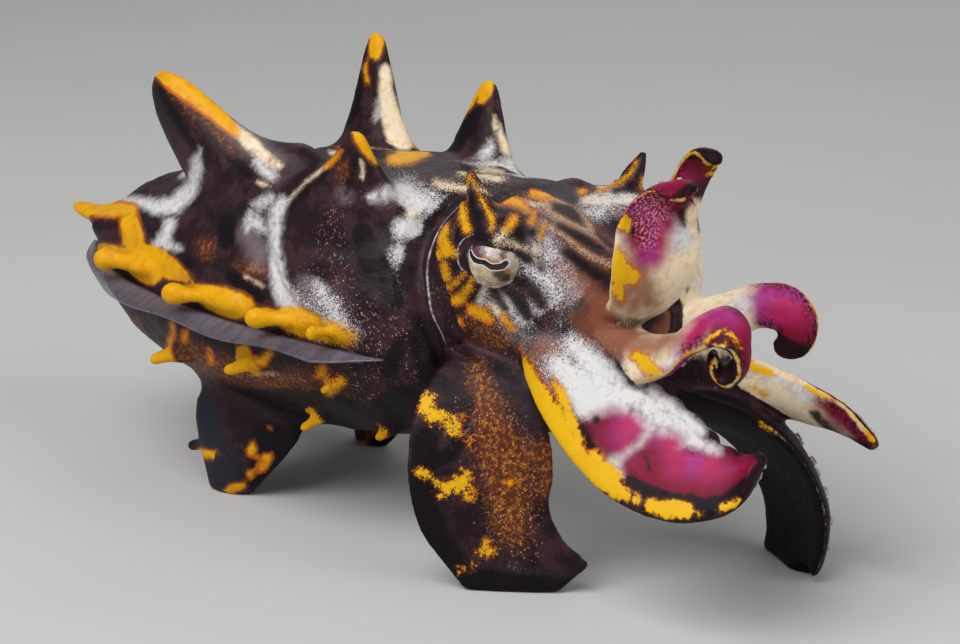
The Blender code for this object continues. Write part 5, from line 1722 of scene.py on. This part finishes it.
clear = Mixer("clear_skin")
tone = clear.mix(clear.patchy(0.4, 0.38, 0.62), (0.14, 0.11, 0.13, 1), (0.46, 0.41, 0.43, 1))
clear_finish = clear.finish(Base_Color=tone, Roughness=0.3, Coat_Weight=0.6, Coat_Roughness=0.08, Alpha=0.85,
                            Normal=clear.bump(clear.noise(0.2), 0.03))
head_back = head_frame.inverted()
fold_places = [landed(row, 0.02) for row in smooth_rows(FOLD, 5)]
for side, turn in SIDES.items():
    ring = [on_eye(side, RIM_WIDE * math.cos(angle), RIM_HIGH * math.sin(angle), 0.0)
            for angle in np.linspace(0, 2 * math.pi, RIM_POINTS, endpoint=False)]
    set_down(thin_tube("eye_rim_" + side, ring, 0.10, True), clear_finish, "skin")
    fold = on_other_side(fold_places, turn)
    set_down(thin_tube("eye_fold_" + side, fold, 0.13, False), clear_finish, "skin")
print("fold through", len(fold_places), "places")

# %% Lip of the collar
LIP_INSET = 2.5  # units of the sheet from the line of the collar to the lip
LIP_END = 345.0  # where it meets the root of the arm, down the sheet
lip_places = [landed((x + LIP_INSET, y), 0.0) for x, y in smooth_rows(COLLAR[1:-1], 6) if y < LIP_END]
for side, turn in SIDES.items():
    lip = on_other_side(lip_places, turn)
    set_down(thin_tube("collar_lip_" + side, lip, 0.16, False), clear_finish, "skin")
print("lip through", len(lip_places), "places")

# %% [markdown]
# ## Suckers
# The inner face of each arm carries rows of small suckers. One is a short cone with its top inset and pushed
# in, only a few faces, because there are hundreds. Each is put on the skin itself, at its own slant.

# %% Suckers
ROWS = (-0.5, 0.0, 0.5)  # places across the arm
suckers = bmesh.new()
for name, seen in SEEN_FACE.items():
    frames, length = pieces[name].frames, pieces[name].length
    runs = np.array([row[0] for row in frames])
    at = 0.3 * length
    number = 0
    while at < 0.97 * length:
        here = int(np.argmin(abs(runs - at)))
        _, centre, side, outward, wide, thick = frames[here]
        size = 0.10 + 0.055 * wide
        for row in ROWS:
            stagger = 0.25 if number % 2 else -0.25
            guess = centre + side * wide * (row + stagger * 0.5) * 0.8 - seen * outward * (thick + 0.4)
            place, normal, _, _ = skin_tree.find_nearest(Vector(guess))
            if ((place - Vector(guess)).length > 1.6 or place.z < 1.0 or normal.dot(Vector(-seen * outward)) < 0.3
                    or normal.dot(Vector(VIEWPOINT) - place) > 0):
                continue
            turn = normal.to_track_quat("Z", "Y").to_matrix().to_4x4()
            spot = Matrix.Translation(place + normal * size * 0.25)
            made = bmesh.ops.create_cone(suckers, cap_ends=True, segments=8, radius1=size * 1.15,
                                         radius2=size * 0.85, depth=size * 0.9, matrix=spot @ turn)
            faces = {face for vertex in made["verts"] for face in vertex.link_faces}
            top = max(faces, key=lambda face: ((face.calc_center_median() - place).dot(normal)
                                               + 0.01 * (len(face.verts) > 4)))
            bmesh.ops.inset_region(suckers, faces=[top], thickness=size * 0.3, depth=0.0)
            bmesh.ops.translate(suckers, verts=top.verts, vec=-normal * size * 0.4)
        number += 1
        at += size * 2.6
print("suckers", len(suckers.faces), "faces")
cup = Mixer("sucker")
tone = cup.mix(cup.patchy(0.35, 0.4, 0.62), (0.30, 0.21, 0.18, 1), (0.52, 0.43, 0.39, 1))
cup_finish = cup.finish(Base_Color=tone, Roughness=0.4, Coat_Weight=0.3, Coat_Roughness=0.2,
                        Normal=cup.bump(cup.noise(0.15), 0.03))
set_down(piece_from(suckers, "suckers"), cup_finish, "skin")

# %% [markdown]
# ## Camera, light and floor
# The camera stands low beside the head and looks a little down. A large soft light from the upper left shows
# the form, a second one fills from the right, and a strip behind lights the edges of the fins.

# %% Camera
lens = bpy.data.cameras.new("camera")
lens.lens = LENS
lens.sensor_width = SENSOR
camera = placed("camera", lens)
camera.location = (AIM + to_camera * DISTANCE) * MM
camera.rotation_euler = to_camera.to_track_quat("Z", "Y").to_euler()
bpy.context.scene.camera = camera
print("camera at", tuple(camera.location))

# %% Lights
LIGHTS = {  # direction it comes from (right, up, towards the camera), distance, side and power
    "key": ((-0.70, 1.0, 0.75), 0.55, 0.42, 3.2),
    "fill": ((1.0, 0.45, 0.8), 0.60, 0.45, 1.5),
    "edge": ((0.2, 0.9, -1.0), 0.60, 0.40, 0.5),
}
for name, ((right, up, near), far, side, power) in LIGHTS.items():
    lamp = bpy.data.lights.new(name, "AREA")
    lamp.size = side
    lamp.energy = power
    where = Vector(sheet_right) * right + Vector((0, 0, 1)) * up + to_camera * near
    light = placed(name, lamp)
    light.location = AIM * MM + where.normalized() * far
    light.rotation_euler = where.to_track_quat("Z", "Y").to_euler()
world = bpy.data.worlds.new("studio")
world.use_nodes = True
world.node_tree.nodes["Background"].inputs["Color"].default_value = (0.95, 0.97, 1.0, 1)
world.node_tree.nodes["Background"].inputs["Strength"].default_value = 0.22
bpy.context.scene.world = world
bpy.context.scene.view_settings.view_transform = "Standard"
print("lights", list(LIGHTS))

# %% Floor
ground_sheet = bmesh.new()
bmesh.ops.create_grid(ground_sheet, x_segments=1, y_segments=1, size=4.0 / MM)
floor = piece_from(ground_sheet, "floor")
floor.data.transform(Matrix.Scale(MM, 4))
plaster = Mixer("floor")
floor_tone = plaster.mix(plaster.noise(60.0), (0.50, 0.50, 0.49, 1), (0.54, 0.54, 0.53, 1))
floor.data.materials.append(plaster.finish(Base_Color=floor_tone, Roughness=0.9, Specular_IOR_Level=0.1))
floor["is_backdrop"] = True

# %% [markdown]
# ## Sizes
# The boxes of the solid model and of the finished animal are both printed. The finished animal
# has to fill the same box as the solid model.

# %% Sizes
size = {"cad": [list(cad_low), list(cad_high)], "visual": [list(corner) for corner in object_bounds()]}
print("size", size)
